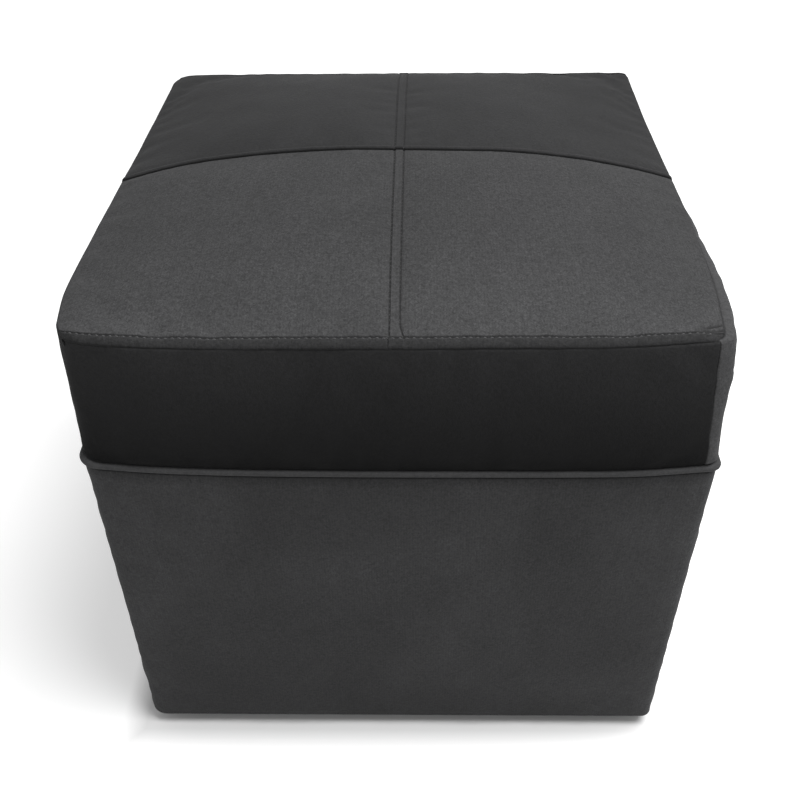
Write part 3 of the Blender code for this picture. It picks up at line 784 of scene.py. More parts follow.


# The front quarters' velvet, with painted shade darkening from the front edge to halfway back
SEAT_VELVET = velvet(
    "seat_velvet",
    (0.0402, 0.0402, 0.0412),
    grain=0.31,
    cords=0.04,
    painted_light_gradient=("Y", -SEAM_HALF, -SEAM_HALF / 2, 1.0, 0.76),
)
# The rear quarters: a darker copy of the seat's velvet, painted shade towards the rear
REAR_SEAT_PAINTED_SHADE_VELVET = velvet("rear_seat_velvet", (0.0186, 0.0186, 0.0191), 0.15, 0.16)
# The front and rear bands: a darker copy of the band velvet, with painted shade darker towards the hem and deepest at
# the hem over the gap to the rim
FRONT_REAR_BAND_PAINTED_SHADE_VELVET = velvet(
    "front_band_velvet",
    (0.0125, 0.0125, 0.0128),
    0.12,
    0.10,
    painted_light_gradient=("Z", HEM_Z, SEAM_Z, 0.44, 1.66),
    painted_crease_shade=((HEM_Z, 0.012, 0.60), (HEM_Z, 0.0036, 0.10)),
    sheen=0.0,
    shine=0.08,
)
# The side bands: a lighter copy of the band velvet, painted light
SIDE_BAND_PAINTED_LIGHT_VELVET = velvet("side_band_velvet", (0.0440, 0.0440, 0.0450), grain=0.24)
# The cover: painted light rising towards the top, and painted shade in the crease just under the rim
BODY_VELVET = velvet(
    "body_velvet",
    (0.0290, 0.0290, 0.0298),
    0.16,
    0.15,
    grain=0.24,
    cords=0.05,
    painted_light_gradient=("Z", COVER_Z, COVER_TOP, 1.0, 1.16),
    painted_crease_shade=((COVER_TOP, 0.012, 0.80), (COVER_TOP, 0.0026, 0.60)),
)
# The rim roll: a lighter copy of the cover's velvet, painted light, with painted shade at its foot
RIM_PAINTED_LIGHT_VELVET = velvet(
    "rim_velvet",
    (0.0430, 0.0430, 0.0440),
    0.10,
    0.08,
    painted_crease_shade=((RIM_Z, 0.0016, 0.6),),
)
THREAD_BLACK = thread_material("thread_black", (0.008, 0.008, 0.0083))
THREAD_GREY = thread_material("thread_grey", (0.048, 0.048, 0.049))
LINING_BLACK = spunbond("lining_black", (0.020, 0.020, 0.0205))
CHIPBOARD = chipboard("chipboard_raw")
FOAM = foam_stuff("cell_foam", (0.74, 0.68, 0.48), 900, 0.0006)
WADDING = foam_stuff("polyester_wadding", (0.80, 0.80, 0.78), 420, 0.0012)
ZINC = zinc("zinc_plate")
STAPLE_STEEL = zinc("staple_steel")
GLIDE = glide_plastic("glide_black")


# The seat: four quarters, with a lapped twin-stitched seam and a plain cross seam

# The lapped seam's wander from front to rear, and how its two rows part
TWIN_MIDDLE = (0.0013, 0.0013, 0.0015, 0.0017, 0.0019, 0.0022, 0.0024, 0.0027, 0.0030)
TWIN_SPREAD = (0.92, 0.93, 0.93, 0.93, 0.93, 0.95, 0.97, 1.00, 1.04)
TWIN_VEER = 0.0026  # how far the right row turns aside before the front topstitch


def seam_shift(x, v):
    """How far the lapped seam's wander moves a point that is x from the middle line."""
    near = np.exp(-((x / 0.028) ** 2))
    veer = TWIN_VEER * ramp(-v, 0.925, 0.985) * ramp(x, 0, 0.003)
    return near * (curve(TWIN_MIDDLE, v) + x * (curve(TWIN_SPREAD, v) - 1) * dip(x, 0.012) * 1.2 + veer)


def roll_lines(half, radius):
    """Places past the start of a rolled edge: how far out each is, and how far down."""
    angles = np.radians(np.linspace(0, 150, 13))[1:]
    return half - radius + radius * np.sin(angles), radius * (1 - np.cos(angles))


def outer_runs(half, start, step):
    """Positions from start out to the rolled edge, close together at the topstitch."""
    stitch = half - PERIMETER_STITCH
    return runs(
        (start, stitch - 0.014, step),
        (stitch - 0.014, stitch - 0.002, 0.0012),
        (stitch - 0.002, stitch - 0.0012, 0.0004),
        (stitch - 0.0012, stitch + 0.0012, 0.0003),
        (stitch + 0.0012, half - SEAM_ROLL, 0.0007),
    )


def seat_lines(side_sign, kind):
    """(distance from the middle line, drop) for each grid line of a quarter, from the middle out."""
    half = SEAM_HALF
    if kind == "lapped" and side_sign > 0:
        nose = -LAP_EDGE + LAP_ROLL * np.array([0, 0.07, 0.25, 0.5, 0.75])
        row = TWIN_STITCH + 0.0011
        left_row = (-LAP_EDGE + LAP_ROLL, -0.0026, 0.0002)
        inner = runs(left_row, (-0.0026, 0.0026, 0.0008), (0.0026, row, 0.0002), (row, 0.013, 0.0014))
        flat = np.concatenate([nose, inner, outer_runs(half, 0.013, LINE_STEP)[1:]])
    elif kind == "lapped":
        inner = runs((0.0022, 0.0040, 0.0006), (0.0040, 0.0066, 0.0003), (0.0066, 0.014, 0.0015))
        flat = np.concatenate([inner, outer_runs(half, 0.014, LINE_STEP)[1:]])
    else:
        nose = 0.00008 + np.array([0, 0.00004, 0.0002, 0.0005, 0.0009, 0.0013, 0.0018])
        inner = runs((0.0024, 0.0060, 0.0007), (0.0060, 0.014, 0.0014))
        flat = np.concatenate([nose, inner, outer_runs(half, 0.014, LINE_STEP)[1:]])
    out, drop = roll_lines(half, SEAM_ROLL)
    return np.concatenate([flat, out]), np.concatenate([np.zeros(len(flat)), drop])


def before_topstitch(y):
    """1 on the seat between its topstitched front and rear edges, and 0 on the strips beyond."""
    return ramp(SEAM_HALF - np.abs(y), PERIMETER_STITCH - 0.0004, PERIMETER_STITCH + 0.0012)


def seam_height(x, y, sx, sy):
    """How the stitching and seams raise or lower the cloth at a place measured from the middle lines."""
    height = np.zeros(np.broadcast(x, y).shape)
    rows = 0.0010 * before_topstitch(y)
    if sx > 0:
        nose = np.clip(1 - (x + LAP_EDGE) / LAP_ROLL, 0, 1)
        height += LAP_RISE * ramp(-x, -TWIN_STITCH - 0.0008, -TWIN_STITCH + 0.0006)
        height -= CLOTH * (1 - np.sqrt(1 - nose**2))
        height -= rows * (dip(x + TWIN_STITCH, 0.0010) + dip(x - TWIN_STITCH, 0.0011))
    else:
        height -= (CLOTH - LAP_RISE + 0.0002) * ramp(x, -LAP_EDGE - 0.0012, -LAP_EDGE + 0.0002)
    deep, wide = (0.0040, 0.0020) if sy < 0 else (0.0028, 0.0013)
    near = np.clip(1 - np.abs(y) / wide, 0, 1)
    height -= deep * (1 - np.sqrt(1 - near**2))
    if sy > 0:
        height += 0.0013 * dip(np.abs(y) - 0.0026, 0.0030)
    distance = SEAM_HALF - np.abs(y)
    height -= 0.0010 * dip(distance - PERIMETER_STITCH, 0.0012)
    height += 0.0005 * dip(distance - 0.6 * PERIMETER_STITCH, 0.4 * PERIMETER_STITCH)
    return height


def corner_pleats(px, py):
    """The small folds pinched into the seat at its front right corner: how deep they are, up to 1."""
    inside, behind = SEAM_HALF - px, SEAM_HALF + py
    deep = np.zeros(np.broadcast(px, py).shape)
    for rise, steepness in ((0.0006, 0.12), (0.0016, 0.34)):
        crease = behind - PERIMETER_STITCH - rise - steepness * (0.022 - inside)
        deep += dip(crease, 0.0016) * (1 - ramp(inside, 0.009, 0.022)) * ramp(inside, 0, 0.002)
    return deep


def crushed(px, py, drop, sx, sy):
    """Painted shading: painted shade, 1 in the seams and 0 on the open seat, and painted highlight below 0 on the
    fold behind the rear cross seam.
    """
    left, right = (0.75, 0.60) if sy < 0 else (0.60, 0.25)
    deep = (left * dip(px + TWIN_STITCH, 0.0010) + right * dip(px - TWIN_STITCH, 0.0009)) * before_topstitch(py)
    edge = SEAM_HALF - np.abs(py)
    deep = np.maximum(deep, 0.6 * dip(edge - PERIMETER_STITCH - 0.0006, 0.0010))
    deep = np.maximum(deep, 0.62 * ramp(-edge, -PERIMETER_STITCH, -PERIMETER_STITCH + 0.0008))
    deep = np.maximum(deep, 0.9 * corner_pleats(px, py))
    # Painted highlight on the raised fold behind the rear cross seam
    if sy > 0:
        deep = deep - 0.45 * dip(np.abs(py) - 0.0021, 0.0014)
    deep = np.maximum(deep, 1 - ramp(np.abs(py), 0.0008, 0.0022 if sy < 0 else 0.0012))
    side = ramp(np.abs(px), SEAM_HALF - 0.9 * SEAM_ROLL, SEAM_HALF - 0.2 * SEAM_ROLL)
    deep = np.maximum(deep, 0.8 * side)
    return np.clip(np.maximum(deep, ramp(drop, 0.0008, 0.0030)), -0.45, 1)


def puckers(x, y, seed):
    """Small gathers that run away from the stitched seams and fade within about 20 mm."""
    edge_x, edge_y = SEAM_HALF - np.abs(x), SEAM_HALF - np.abs(y)
    gather = np.exp(-np.abs(edge_y - 0.008) / 0.010) * ripple(x, y * 0.15, 0.020, seed, 2)
    gather = gather + np.exp(-np.abs(edge_x - 0.008) / 0.010) * ripple(y, x * 0.15, 0.020, seed + 1, 2)
    gather = gather + 0.7 * np.exp(-np.abs(y) / 0.012) * ripple(x, y * 0.2, 0.026, seed + 2, 2)
    gather = gather + 0.5 * np.exp(-np.abs(x) / 0.010) * ripple(y, x * 0.2, 0.022, seed + 3, 2)
    return 0.00022 * gather


def seat_surface(sx, sy, xs, ys, drop_x, drop_y, swell):
    """Points of a quarter: xs and ys are distances from the middle lines, measured outwards."""
    x, y = np.meshgrid(xs, ys)
    u, v = sx * x / SEAM_HALF, sy * y / SEAM_HALF
    wu, wv = np.clip(u, -1, 1), np.clip(v, -1, 1)
    points = seat_base(wu, wv)
    weight_u = blend_weights(sx * xs / SEAM_HALF, swell.shape[1])
    weight_v = blend_weights(sy * ys / SEAM_HALF, swell.shape[0])
    points += np.einsum("ai,bj,ijk->abk", weight_v, weight_u, swell)
    px, py = sx * x, sy * y
    points[..., 0] += seam_shift(px, wv)
    height = seam_height(px, py, sx, sy) + puckers(px, py, 31) + 0.0005 * ripple(px, py, 0.16, 5)
    points[..., 2] += height - drop_x[None, :] - drop_y[:, None]
    inside, behind = SEAM_HALF - px, SEAM_HALF + py
    pinch = np.exp(-(inside**2 + behind**2) / 0.010**2)
    points += pinch[..., None] * np.array([-0.0012, 0.0008, -0.0020])
    points[..., 2] -= 0.0011 * corner_pleats(px, py)
    return points


def make_seat(swell):
    for corner, (sx, sy) in CORNERS.items():
        xs, drop_x = seat_lines(sx, "lapped")
        ys, drop_y = seat_lines(sy, "crossed")
        points = seat_surface(sx, sy, xs, ys, drop_x, drop_y, swell)
        # The rear quarters take the copy with painted shade
        material = SEAT_VELVET if sy < 0 else REAR_SEAT_PAINTED_SHADE_VELVET
        name = "seat_panel_" + corner
        faces = grid_faces(len(ys), len(xs), flip=sx * sy < 0)
        panel = mesh_piece(name, points, faces, material)
        x, y = np.meshgrid(sx * xs, sy * ys)
        # Painted shade in the seams and a painted highlight behind the rear cross seam
        mark_painted_shading(panel, crushed(x, y, drop_x[None, :] + drop_y[:, None], sx, sy))
        thicken(panel, CLOTH)
        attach(panel, "lid")
        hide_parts("seat_" + corner)


def seat_line(swell, reach, x=None, y=None, sink=0.0002):
    """Points along a stitch row at one distance from a middle line, across the seat to reach at both ends."""
    pieces = []
    for sign in (-1, 1):
        along = np.linspace(*((reach, 0) if sign < 0 else (0, reach)), 450) * SEAM_HALF
        none, level = np.zeros(1), np.zeros(len(along))
        if x is not None:
            line = seat_surface(1, sign, np.array([x]), along, none, level, swell)[:, 0]
        else:
            side = 1 if y > 0 else -1
            line = seat_surface(sign, side, along, np.array([abs(y)]), level, none, swell)[0]
        pieces.append(line if sign > 0 else line[::-1])
    line = np.concatenate([pieces[0], pieces[1][1:]])
    line[:, 2] -= sink
    return line


def stitches(name, lines, material, body):
    """A row of short sewn stitches along each line of points, each a thread that dives in at both ends."""
    rings, sides = 7, 6
    shares = np.linspace(-0.5, 0.5, rings)
    widths = THREAD * np.array([0.35, 0.8, 1.0, 1.0, 1.0, 0.8, 0.35])
    sinks = THREAD * np.array([-2.2, -0.9, -0.1, 0.15, -0.1, -0.9, -2.2])
    turns = np.arange(sides) * 2 * math.pi / sides
    points, faces = [], []
    for line in lines:
        steps = np.linalg.norm(np.diff(line, axis=0), axis=1)
        reached = np.concatenate([[0], np.cumsum(steps)])
        for middle in np.arange(STITCH_PITCH / 2, reached[-1] - STITCH_PITCH / 2, STITCH_PITCH):
            own = middle + rng.normal(0, STITCH_PITCH * 0.03)
            at = own + shares * STITCH_LENGTH * (1 + rng.normal(0, 0.04))
            spine = np.stack([np.interp(at, reached, line[:, k]) for k in range(3)], -1)
            along = spine[-1] - spine[0]
            along /= np.linalg.norm(along)
            across = np.cross(along, (0, 0, 1))
            across /= np.linalg.norm(across)
            over = np.cross(across, along)
            first = len(points)
            for k in range(rings):
                centre = spine[k] + over * sinks[k]
                for turn in turns:
                    points.append(centre + widths[k] * (across * math.cos(turn) + over * math.sin(turn)))
            for k in range(rings - 1):
                for s in range(sides):
                    a, b = first + k * sides + s, first + k * sides + (s + 1) % sides
                    faces.append((a, b, b + sides, a + sides))
            faces.append(tuple(first + s for s in range(sides))[::-1])
            faces.append(tuple(first + (rings - 1) * sides + s for s in range(sides)))
    made = mesh_piece(name, np.array(points), faces, material)
    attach(made, body)
    return made


def make_seat_stitches(swell):
    inner = 1 - PERIMETER_STITCH / SEAM_HALF
    twins = [seat_line(swell, inner, x=side * TWIN_STITCH) for side in (-1, 1)]
    made = stitches("twin_stitches", twins, THREAD_BLACK, "lid")
    edge = SEAM_HALF - PERIMETER_STITCH
    rows = [seat_line(swell, inner, y=side * edge, sink=-0.0004) for side in (-1, 1)]
    made = stitches("edge_stitches", rows, THREAD_GREY, "lid")


# The lid's bands


def around(distance):
    """Shares (u, v) at distances round the lid from its front left corner, and the side's number there."""
    distance = np.mod(distance, 8 * SEAM_HALF)
    number = np.minimum(distance // (2 * SEAM_HALF), 3).astype(int)
    s = (distance - 2 * SEAM_HALF * number) / SEAM_HALF - 1
    u = np.choose(number, [s, 0 * s + 1, -s, 0 * s - 1])
    v = np.choose(number, [0 * s - 1, s, 0 * s + 1, -s])
    return u, v, number


def between_seams(start, end):
    """Distances round the lid from one upright seam to the next, close together at both."""
    later = runs((SEAM_WIDTH, 0.008, 0.0011), (0.008, 0.034, 0.0018), (0.034, 0.046, 0.003))
    near = np.concatenate([SEAM_STEPS, later])
    middle = start + runs((near[-1], end - start - near[-1], LINE_STEP))[1:-1]
    return np.concatenate([start + near, middle, (end - near)[::-1]])


def band_profile(low_z, high_z, under):
    """(out, z) from inside the top crease, over the rolled edge, down the face and in under the hem."""
    roll, top, foot = BAND_ROLL, high_z - BAND_ROLL, low_z + BAND_ROLL
    over = np.radians(np.linspace(-70, 90, 14))
    rows = [(-roll + roll * math.sin(a), top + roll * math.cos(a)) for a in over]
    upper, lower = (top, top - 0.008, 0.0014), (foot + 0.006, foot, 0.0015)
    face = runs(upper, (top - 0.008, foot + 0.006, LINE_STEP), lower)
    rows += [(0, z) for z in face[1:]]
    back = np.radians(np.linspace(0, 90, 8))[1:]
    rows += [(-roll + roll * math.cos(a), foot - roll * math.sin(a)) for a in back]
    rows += [(-x, low_z) for x in runs((roll, under, 0.0032))[1:]]
    return np.array(rows).T


def cheek(distance, v, t, shown):
    """How far the right band's full front corner stands out, by the place round the lid and the height."""
    corner = 2 * SEAM_HALF
    hem, seam = WRAP["right"]
    begun = np.clip((distance - corner + hem + (seam - hem) * t[:, None]) / 0.016, 0, 1)
    along = begun * begun * (3 - 2 * begun) * (1 - ramp(v, -0.86, 0.1))
    return CHEEK * shown[:, None] * curve(CHEEK_RISE, 2 * t - 1)[:, None] * along


def make_bands(swells):
    boxes = hinge_boxes()
    top_z = SEAM_Z - SEAM_ROLL - 0.0001
    out, z = band_profile(HEM_Z, top_z, under=HEM_HALF - HEM_MOUTH)
    t = np.clip((z - HEM_Z) / (top_z - HEM_Z), 0, 1)
    face = ramp(t, 0, 0.06)[:, None]
    shown = ramp(out, -0.0035, 0)
    names = list(SIDES)
    for number, side in enumerate(names):
        after = names[(number + 1) % 4]
        start = 2 * SEAM_HALF * number - WRAP[side][0]
        end = 2 * SEAM_HALF * (number + 1) - WRAP[after][0]
        distance = between_seams(start, end)
        u, v, numbers = around(distance)
        shift = np.zeros((len(z), len(u), 3))
        for other in set(numbers):
            mine = numbers == other
            swell = scaled(swells[names[other]], BAND_SWELL[names[other]])
            s = (u if SIDES[names[other]][1] else v)[mine]
            rows = blend_weights(1 - 2 * t, swell.shape[0])
            shift[:, mine] = np.einsum("ai,bj,ijk->abk", rows, blend_weights(s, swell.shape[1]), swell)
        # The seam between the left and front bands is flush, so it has no fold
        from_seam = np.minimum(distance - start, end - distance)
        if side == "front":
            from_seam = end - distance
        if side == "left":
            from_seam = distance - start
        corner = np.clip(1 - from_seam / SEAM_WIDTH, 0, 1)
        fold = -0.0007 * (1 - np.sqrt(1 - corner**2))[None, :]
        soft = 0.0006 * ripple(distance[None, :], z[:, None], 0.12, 40 + number) * face
        gather = 0.00035 * ripple(distance[None, :], z[:, None] * 0.2, 0.03, 50 + number, 2)
        gather = gather * np.exp(-((top_z - z[:, None]) / 0.018) ** 2)
        share = (distance - start) / (end - start)
        lean_start, lean_end = (WRAP[near][0] - WRAP[near][1] for near in (side, after))
        lean = t[:, None] * (lean_start * (1 - share) + lean_end * share)[None, :]
        u, v, _ = around(distance[None, :] + lean)
        points = lid_wall(u, v, z[:, None], out[:, None] + fold + soft + gather)
        points += shift * face[..., None]
        # Under the hem the cloth's inner edge is straight, whatever the band's bow
        inward = ramp(-out, -out[z > HEM_Z + 1e-6].min(), -out.min())
        inward = np.where(z <= HEM_Z + 1e-6, inward, 0)[:, None]
        hidden_x, hidden_y = plan(u, v, HEM_HALF, FLAT_BOW, HEM_RADIUS, out[:, None])
        points[..., 0] += inward * (hidden_x - points[..., 0])
        points[..., 1] += inward * (hidden_y - points[..., 1])
        if side == "right":
            points[..., 0] += cheek(distance[None, :] + lean, v, t, shown)
        points = np.where((v > 0.8)[..., None], clip_behind(points, 1), points)
        # Front and rear bands take the darker copy with painted shade, and the sides take the lighter copy with
        # painted light
        material = FRONT_REAR_BAND_PAINTED_SHADE_VELVET if side in ("front", "rear") else SIDE_BAND_PAINTED_LIGHT_VELVET
        panel = mesh_piece("band_panel_" + side, points, grid_faces(*points.shape[:2], flip=True), material)
        # Painted shade under the seat's rolled edge and along the upright seams
        reach = -0.0004 if side == "front" else -0.0019
        deep = np.where(z > (HEM_Z + SEAM_Z) / 2, 1 - ramp(out, -BAND_ROLL, reach), 0)[:, None]
        mark_painted_shading(panel, np.maximum(deep, 0.5 * np.clip(1 - from_seam / 0.0008, 0, 1)[None, :]))
        thicken(panel, CLOTH)
        if side == "rear":
            apply_modifiers(panel)
            notch(panel, boxes)
        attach(panel, "lid")
        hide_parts("band_" + side)


# The box: cover and rim roll


def along_lines():
    """Places along a side from corner to corner, as shares from -1 to 1, close together at the corners."""
    end = runs((SEAM_WIDTH, 0.008, 0.0011), (0.008, 0.022, 0.0018), (0.022, 0.040, 0.003))
    left = np.concatenate([SEAM_STEPS, end])
    middle = runs((0.040, 2 * SEAM_HALF - 0.040, LINE_STEP))[1:-1]
    return np.concatenate([left, middle, (2 * SEAM_HALF - left)[::-1]]) / SEAM_HALF - 1


def loop_shares():
    """Shares (u, v) once round the outside, and the side that each belongs to."""
    s = along_lines()[:-1]
    order = (("front", s), ("right", s), ("rear", -s), ("left", -s))
    us, vs, names = [], [], []
    for side, places in order:
        u, v = side_shares(side, places)
        us.append(u)
        vs.append(v)
        names += [side] * len(places)
    return np.concatenate(us), np.concatenate(vs), np.array(names)


def make_cover(swells):
    u, v, names = loop_shares()
    roll_top, roll_low = COVER_TOP_ROLL, COVER_LOW_ROLL
    top = [(-x, COVER_TOP) for x in runs((0.012, roll_top, 0.003))]
    over = np.radians(np.linspace(0, 90, 7))[1:]
    top += [(-roll_top + roll_top * math.sin(a), COVER_TOP - roll_top + roll_top * math.cos(a)) for a in over]
    face = runs(
        (COVER_TOP - roll_top, COVER_TOP - 0.012, 0.002),
        (COVER_TOP - 0.012, COVER_Z + 0.012, 0.0042),
        (COVER_Z + 0.012, COVER_Z + roll_low, 0.002),
    )
    rows = top + [(0, z) for z in face[1:]]
    back = np.radians(np.linspace(0, 90, 7))[1:]
    rows += [(-roll_low + roll_low * math.cos(a), COVER_Z + roll_low - roll_low * math.sin(a)) for a in back]
    rows += [(-x, COVER_Z) for x in runs((roll_low, 0.021, 0.003))[1:]]
    out, z = np.array(rows).T
    t = np.clip((z - COVER_Z) / (COVER_TOP - COVER_Z), 0, 1)
    face = (ramp(t, 0, 0.03) * ramp(1 - t, 0, 0.03))[:, None]
    shift = np.zeros((len(z), len(u), 3))
    for side in SIDES:
        mine = names == side
        swell = scaled(swells[side], BODY_SWELL[side])
        s = (u if side in ("front", "rear") else v)[mine]
        rows, columns = blend_weights(1 - 2 * t, swell.shape[0]), blend_weights(s, swell.shape[1])
        shift[:, mine] = np.einsum("ai,bj,ijk->abk", rows, columns, swell)
    x, y = plan(u, v, COVER_HALF, FLAT_BOW, RIM_RADIUS)
    place = np.where((names == "front") | (names == "rear"), x, y)
    seed = {"front": 60, "right": 61, "rear": 62, "left": 63}
    soft = np.zeros((len(z), len(u)))
    for side in SIDES:
        mine = names == side
        edge = (1 - np.abs(np.where(side in ("front", "rear"), u, v)[mine]) ** 6)[None, :]
        waves = 0.0007 * ripple(place[mine][None, :], z[:, None], 0.17, seed[side])
        gather = 0.00035 * ripple(place[mine][None, :], z[:, None] * 0.25, 0.05, seed[side] + 9, 2)
        soft[:, mine] = (waves + gather * ramp(t, 0.75, 1.0)[:, None]) * edge
    points = base_wall(u[None, :], v[None, :], z[:, None], out[:, None] + soft * face)
    points = points + shift * face[..., None]
    faces = grid_faces(*points.shape[:2], closed=True, flip=True)
    cover = mesh_piece("body_sleeve", points, faces, BODY_VELVET)
    # Painted highlight near the two upright edges in front
    right = np.exp(-((np.hypot(u - 1, v + 1) / 0.055) ** 2))
    left = np.exp(-((np.hypot(u + 1, v + 1) / 0.16) ** 2))
    patchy = 0.5 + 0.5 * ripple(u[None, :] * 0.2, z[:, None], 0.09, 75)
    mark_painted_shading(cover, -0.42 * right[None, :] - 0.20 * left[None, :] * np.clip(patchy, 0, 1.2))
    thicken(cover, CLOTH)
    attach(cover, "box")
    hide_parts("body_cover")


def octagon_reach(wall, rear_y):
    """How far out the storage space's walls, diagonals and rear wall are, less the lining's room."""
    side = WALL_IN - GAP - wall
    diagonal = 2 * WALL_IN - 2 * GAP - POST_LEG - (GAP + wall) * math.sqrt(2)
    return side, diagonal, rear_y - GAP - wall


def octagon_scale(x, y, wall, rear_y):
    """How far to scale each (x, y) so that it lies on the eight-sided mouth of the storage space."""
    side, diagonal, rear = octagon_reach(wall, rear_y)
    limits = [np.abs(x) / side, (np.abs(x) + np.abs(y)) / diagonal]
    limits.append(np.where(y < 0, -y / side, y / rear))
    return 1 / np.maximum.reduce(limits)


def make_rim():
    u, v, _ = loop_shares()
    x, y = plan(u, v, RIM_HALF, RIM_BOW, RIM_RADIUS)
    edge = np.stack([x, y], -1)
    mouth = edge * octagon_scale(x, y, LINING_ROOM, RAIL_Y)[:, None]
    roll = (RIM_TOP - RIM_Z) / 2
    flat_z = WALL_TOP + 0.0004
    puffed = 0.00025 * ripple(x, y, 0.045, 71)
    rows = []
    # Up at the mouth, out over the flat top, round the roll, and back underneath
    for share, z in ((0.0, (RIM_TOP + flat_z) / 2), (0.0, RIM_TOP - 0.0005), (0.012, RIM_TOP - 0.0001)):
        rows.append(np.concatenate([mouth + (edge - mouth) * share, np.full((len(x), 1), z)], 1))
    inside = np.stack(plan(u, v, RIM_HALF, RIM_BOW, RIM_RADIUS, -roll), -1)
    dent = RIM_TOP - 0.0004 - 0.0002 * (1 + ripple(x, y, 0.05, 72))
    for share in (0.2, 0.4, 0.6, 0.78):
        rows.append(np.concatenate([mouth + (inside - mouth) * share, dent[:, None]], 1))
    for angle in np.radians(np.linspace(90, -90, 15)):
        z = RIM_Z + roll + roll * math.sin(angle)
        px, py = plan(u, v, RIM_HALF, RIM_BOW, RIM_RADIUS, -roll + roll * math.cos(angle))
        rise = puffed * max(0.0, (z - RIM_Z) / (RIM_TOP - RIM_Z) - 0.2)
        rows.append(np.stack([px, py, np.minimum(z + rise, RIM_TOP)], -1))
    wall = WALL_OUT + 0.0004 - RIM_HALF
    for out, z in ((-0.010, RIM_Z), (wall, RIM_Z), (wall, flat_z)):
        px, py = plan(u, v, RIM_HALF, FLAT_BOW, RIM_RADIUS, out)
        rows.append(np.stack([px, py, np.full(len(px), z)], -1))
    rows.append(np.concatenate([mouth + (edge - mouth) * 0.012, np.full((len(x), 1), flat_z)], 1))
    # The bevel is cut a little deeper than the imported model's, so the rear band clears it when the lid is open
    deeper = np.array([0, 0, 0.0004])
    points = clip_behind(np.stack(rows) + deeper, -1) - deeper
    count, columns = points.shape[:2]
    faces = grid_faces(count, columns, closed=True, flip=True)
    last = (count - 1) * columns
    c = np.arange(columns)
    nxt = (c + 1) % columns
    faces += np.stack([c, nxt, last + nxt, last + c], -1).tolist()
    rim = mesh_piece("rim_roll_padded", points, faces, RIM_PAINTED_LIGHT_VELVET)
    notch(rim, hinge_boxes())
    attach(rim, "box")
    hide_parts("rim_roll")


# Linings


def staple_row(places, directions, normals, body, name):
    """Wire staples pressed into cloth: crowns with rounded shoulders whose legs go straight in."""
    crown, wire = STAPLE_CROWN, STAPLE_WIRE
    points, faces = [], []
    profile = []
    for angle in np.radians(np.linspace(0, 90, 4)):
        profile.append((crown / 2 - wire + wire * math.sin(angle), wire * math.cos(angle) - wire))
    left = [(-a, b) for a, b in profile[::-1]]
    path = [(-crown / 2, -STAPLE_LEG)] + left + profile + [(crown / 2, -STAPLE_LEG)]
    for place, along, normal in zip(places, directions, normals):
        place, along, normal = (np.asarray(k, float) for k in (place, along, normal))
        across = np.cross(normal, along)
        first = len(points)
        for a, b in path:
            for w in (-wire, wire):
                for h in (-0.0002, 0.0002):
                    inward = np.sign(a) * (abs(a) > crown / 2 - wire / 2)
                    rise = b + 0.0003 + (0 if inward else h)
                    points.append(place + along * (a + inward * h) + normal * rise + across * w)
        order = [0, 1, 3, 2]
        for k in range(len(path) - 1):
            for q in range(4):
                a, b = first + 4 * k + order[q], first + 4 * k + order[(q + 1) % 4]
                faces.append((a, b, b + 4, a + 4))
        faces.append(tuple(first + q for q in order)[::-1])
        faces.append(tuple(first + 4 * (len(path) - 1) + q for q in order))
    made = mesh_piece(name, np.array(points), faces, STAPLE_STEEL, smooth=False)
    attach(made, body)
    return made


def ring_of_staples(half, z, pitch, body, name, skip=None):
    """Staples in a square under a board, each a little out of place and out of line."""
    places, directions, normals = [], [], []
    count = int((2 * half - 0.02) / pitch)
    for side, (nx, ny) in SIDES.items():
        for k in range(count):
            s = (k - (count - 1) / 2) * pitch + rng.normal(0, pitch * 0.06)
            x, y = (s, ny * half) if ny else (nx * half, s)
            if skip and skip(x, y):
                continue
            tilt = rng.normal(0, 0.10)
            along = Vector((1, 0, 0) if ny else (0, 1, 0))
            along.rotate(Matrix.Rotation(tilt, 3, "Z"))
            places.append((x + rng.normal(0, 0.0004), y + rng.normal(0, 0.0004), z))
            directions.append(along)
            normals.append((0, 0, -1))
    return staple_row(places, directions, normals, body, name)


def flat_sheet(name, half, low_z, high_z, body, node_name, boxes=()):
    """A stapled square of lining with a hem folded under all round."""
    hem = runs((0, 0.0008, 0.0004), (0.0008, 0.009, 0.0027), (0.009, 0.0102, 0.0006), (0.0102, 0.020, 0.004))
    middle = runs((0.020, 2 * half - 0.020, 0.0075))[1:-1]
    lines = np.concatenate([hem, middle, (2 * half - hem)[::-1]]) - half
    x, y = np.meshgrid(lines, lines)
    edge = np.minimum(half - np.abs(x), half - np.abs(y))
    folded = (high_z - low_z) * 0.35 * ramp(edge, 0.0090, 0.0104)
    rounded = (high_z - low_z) * 0.3 * (1 - ramp(edge, -0.0001, 0.0008))
    down = low_z + folded + rounded
    outer = np.stack([x, y, down], -1)[:, ::-1]
    inner = np.stack([x, y, np.maximum(np.full_like(x, high_z), down + 0.0002)], -1)[:, ::-1]
    made = closed_shell(name, outer, inner, LINING_BLACK, steps=2)
    if boxes:
        notch(made, boxes)
    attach(made, body)
    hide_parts(node_name)
    return made


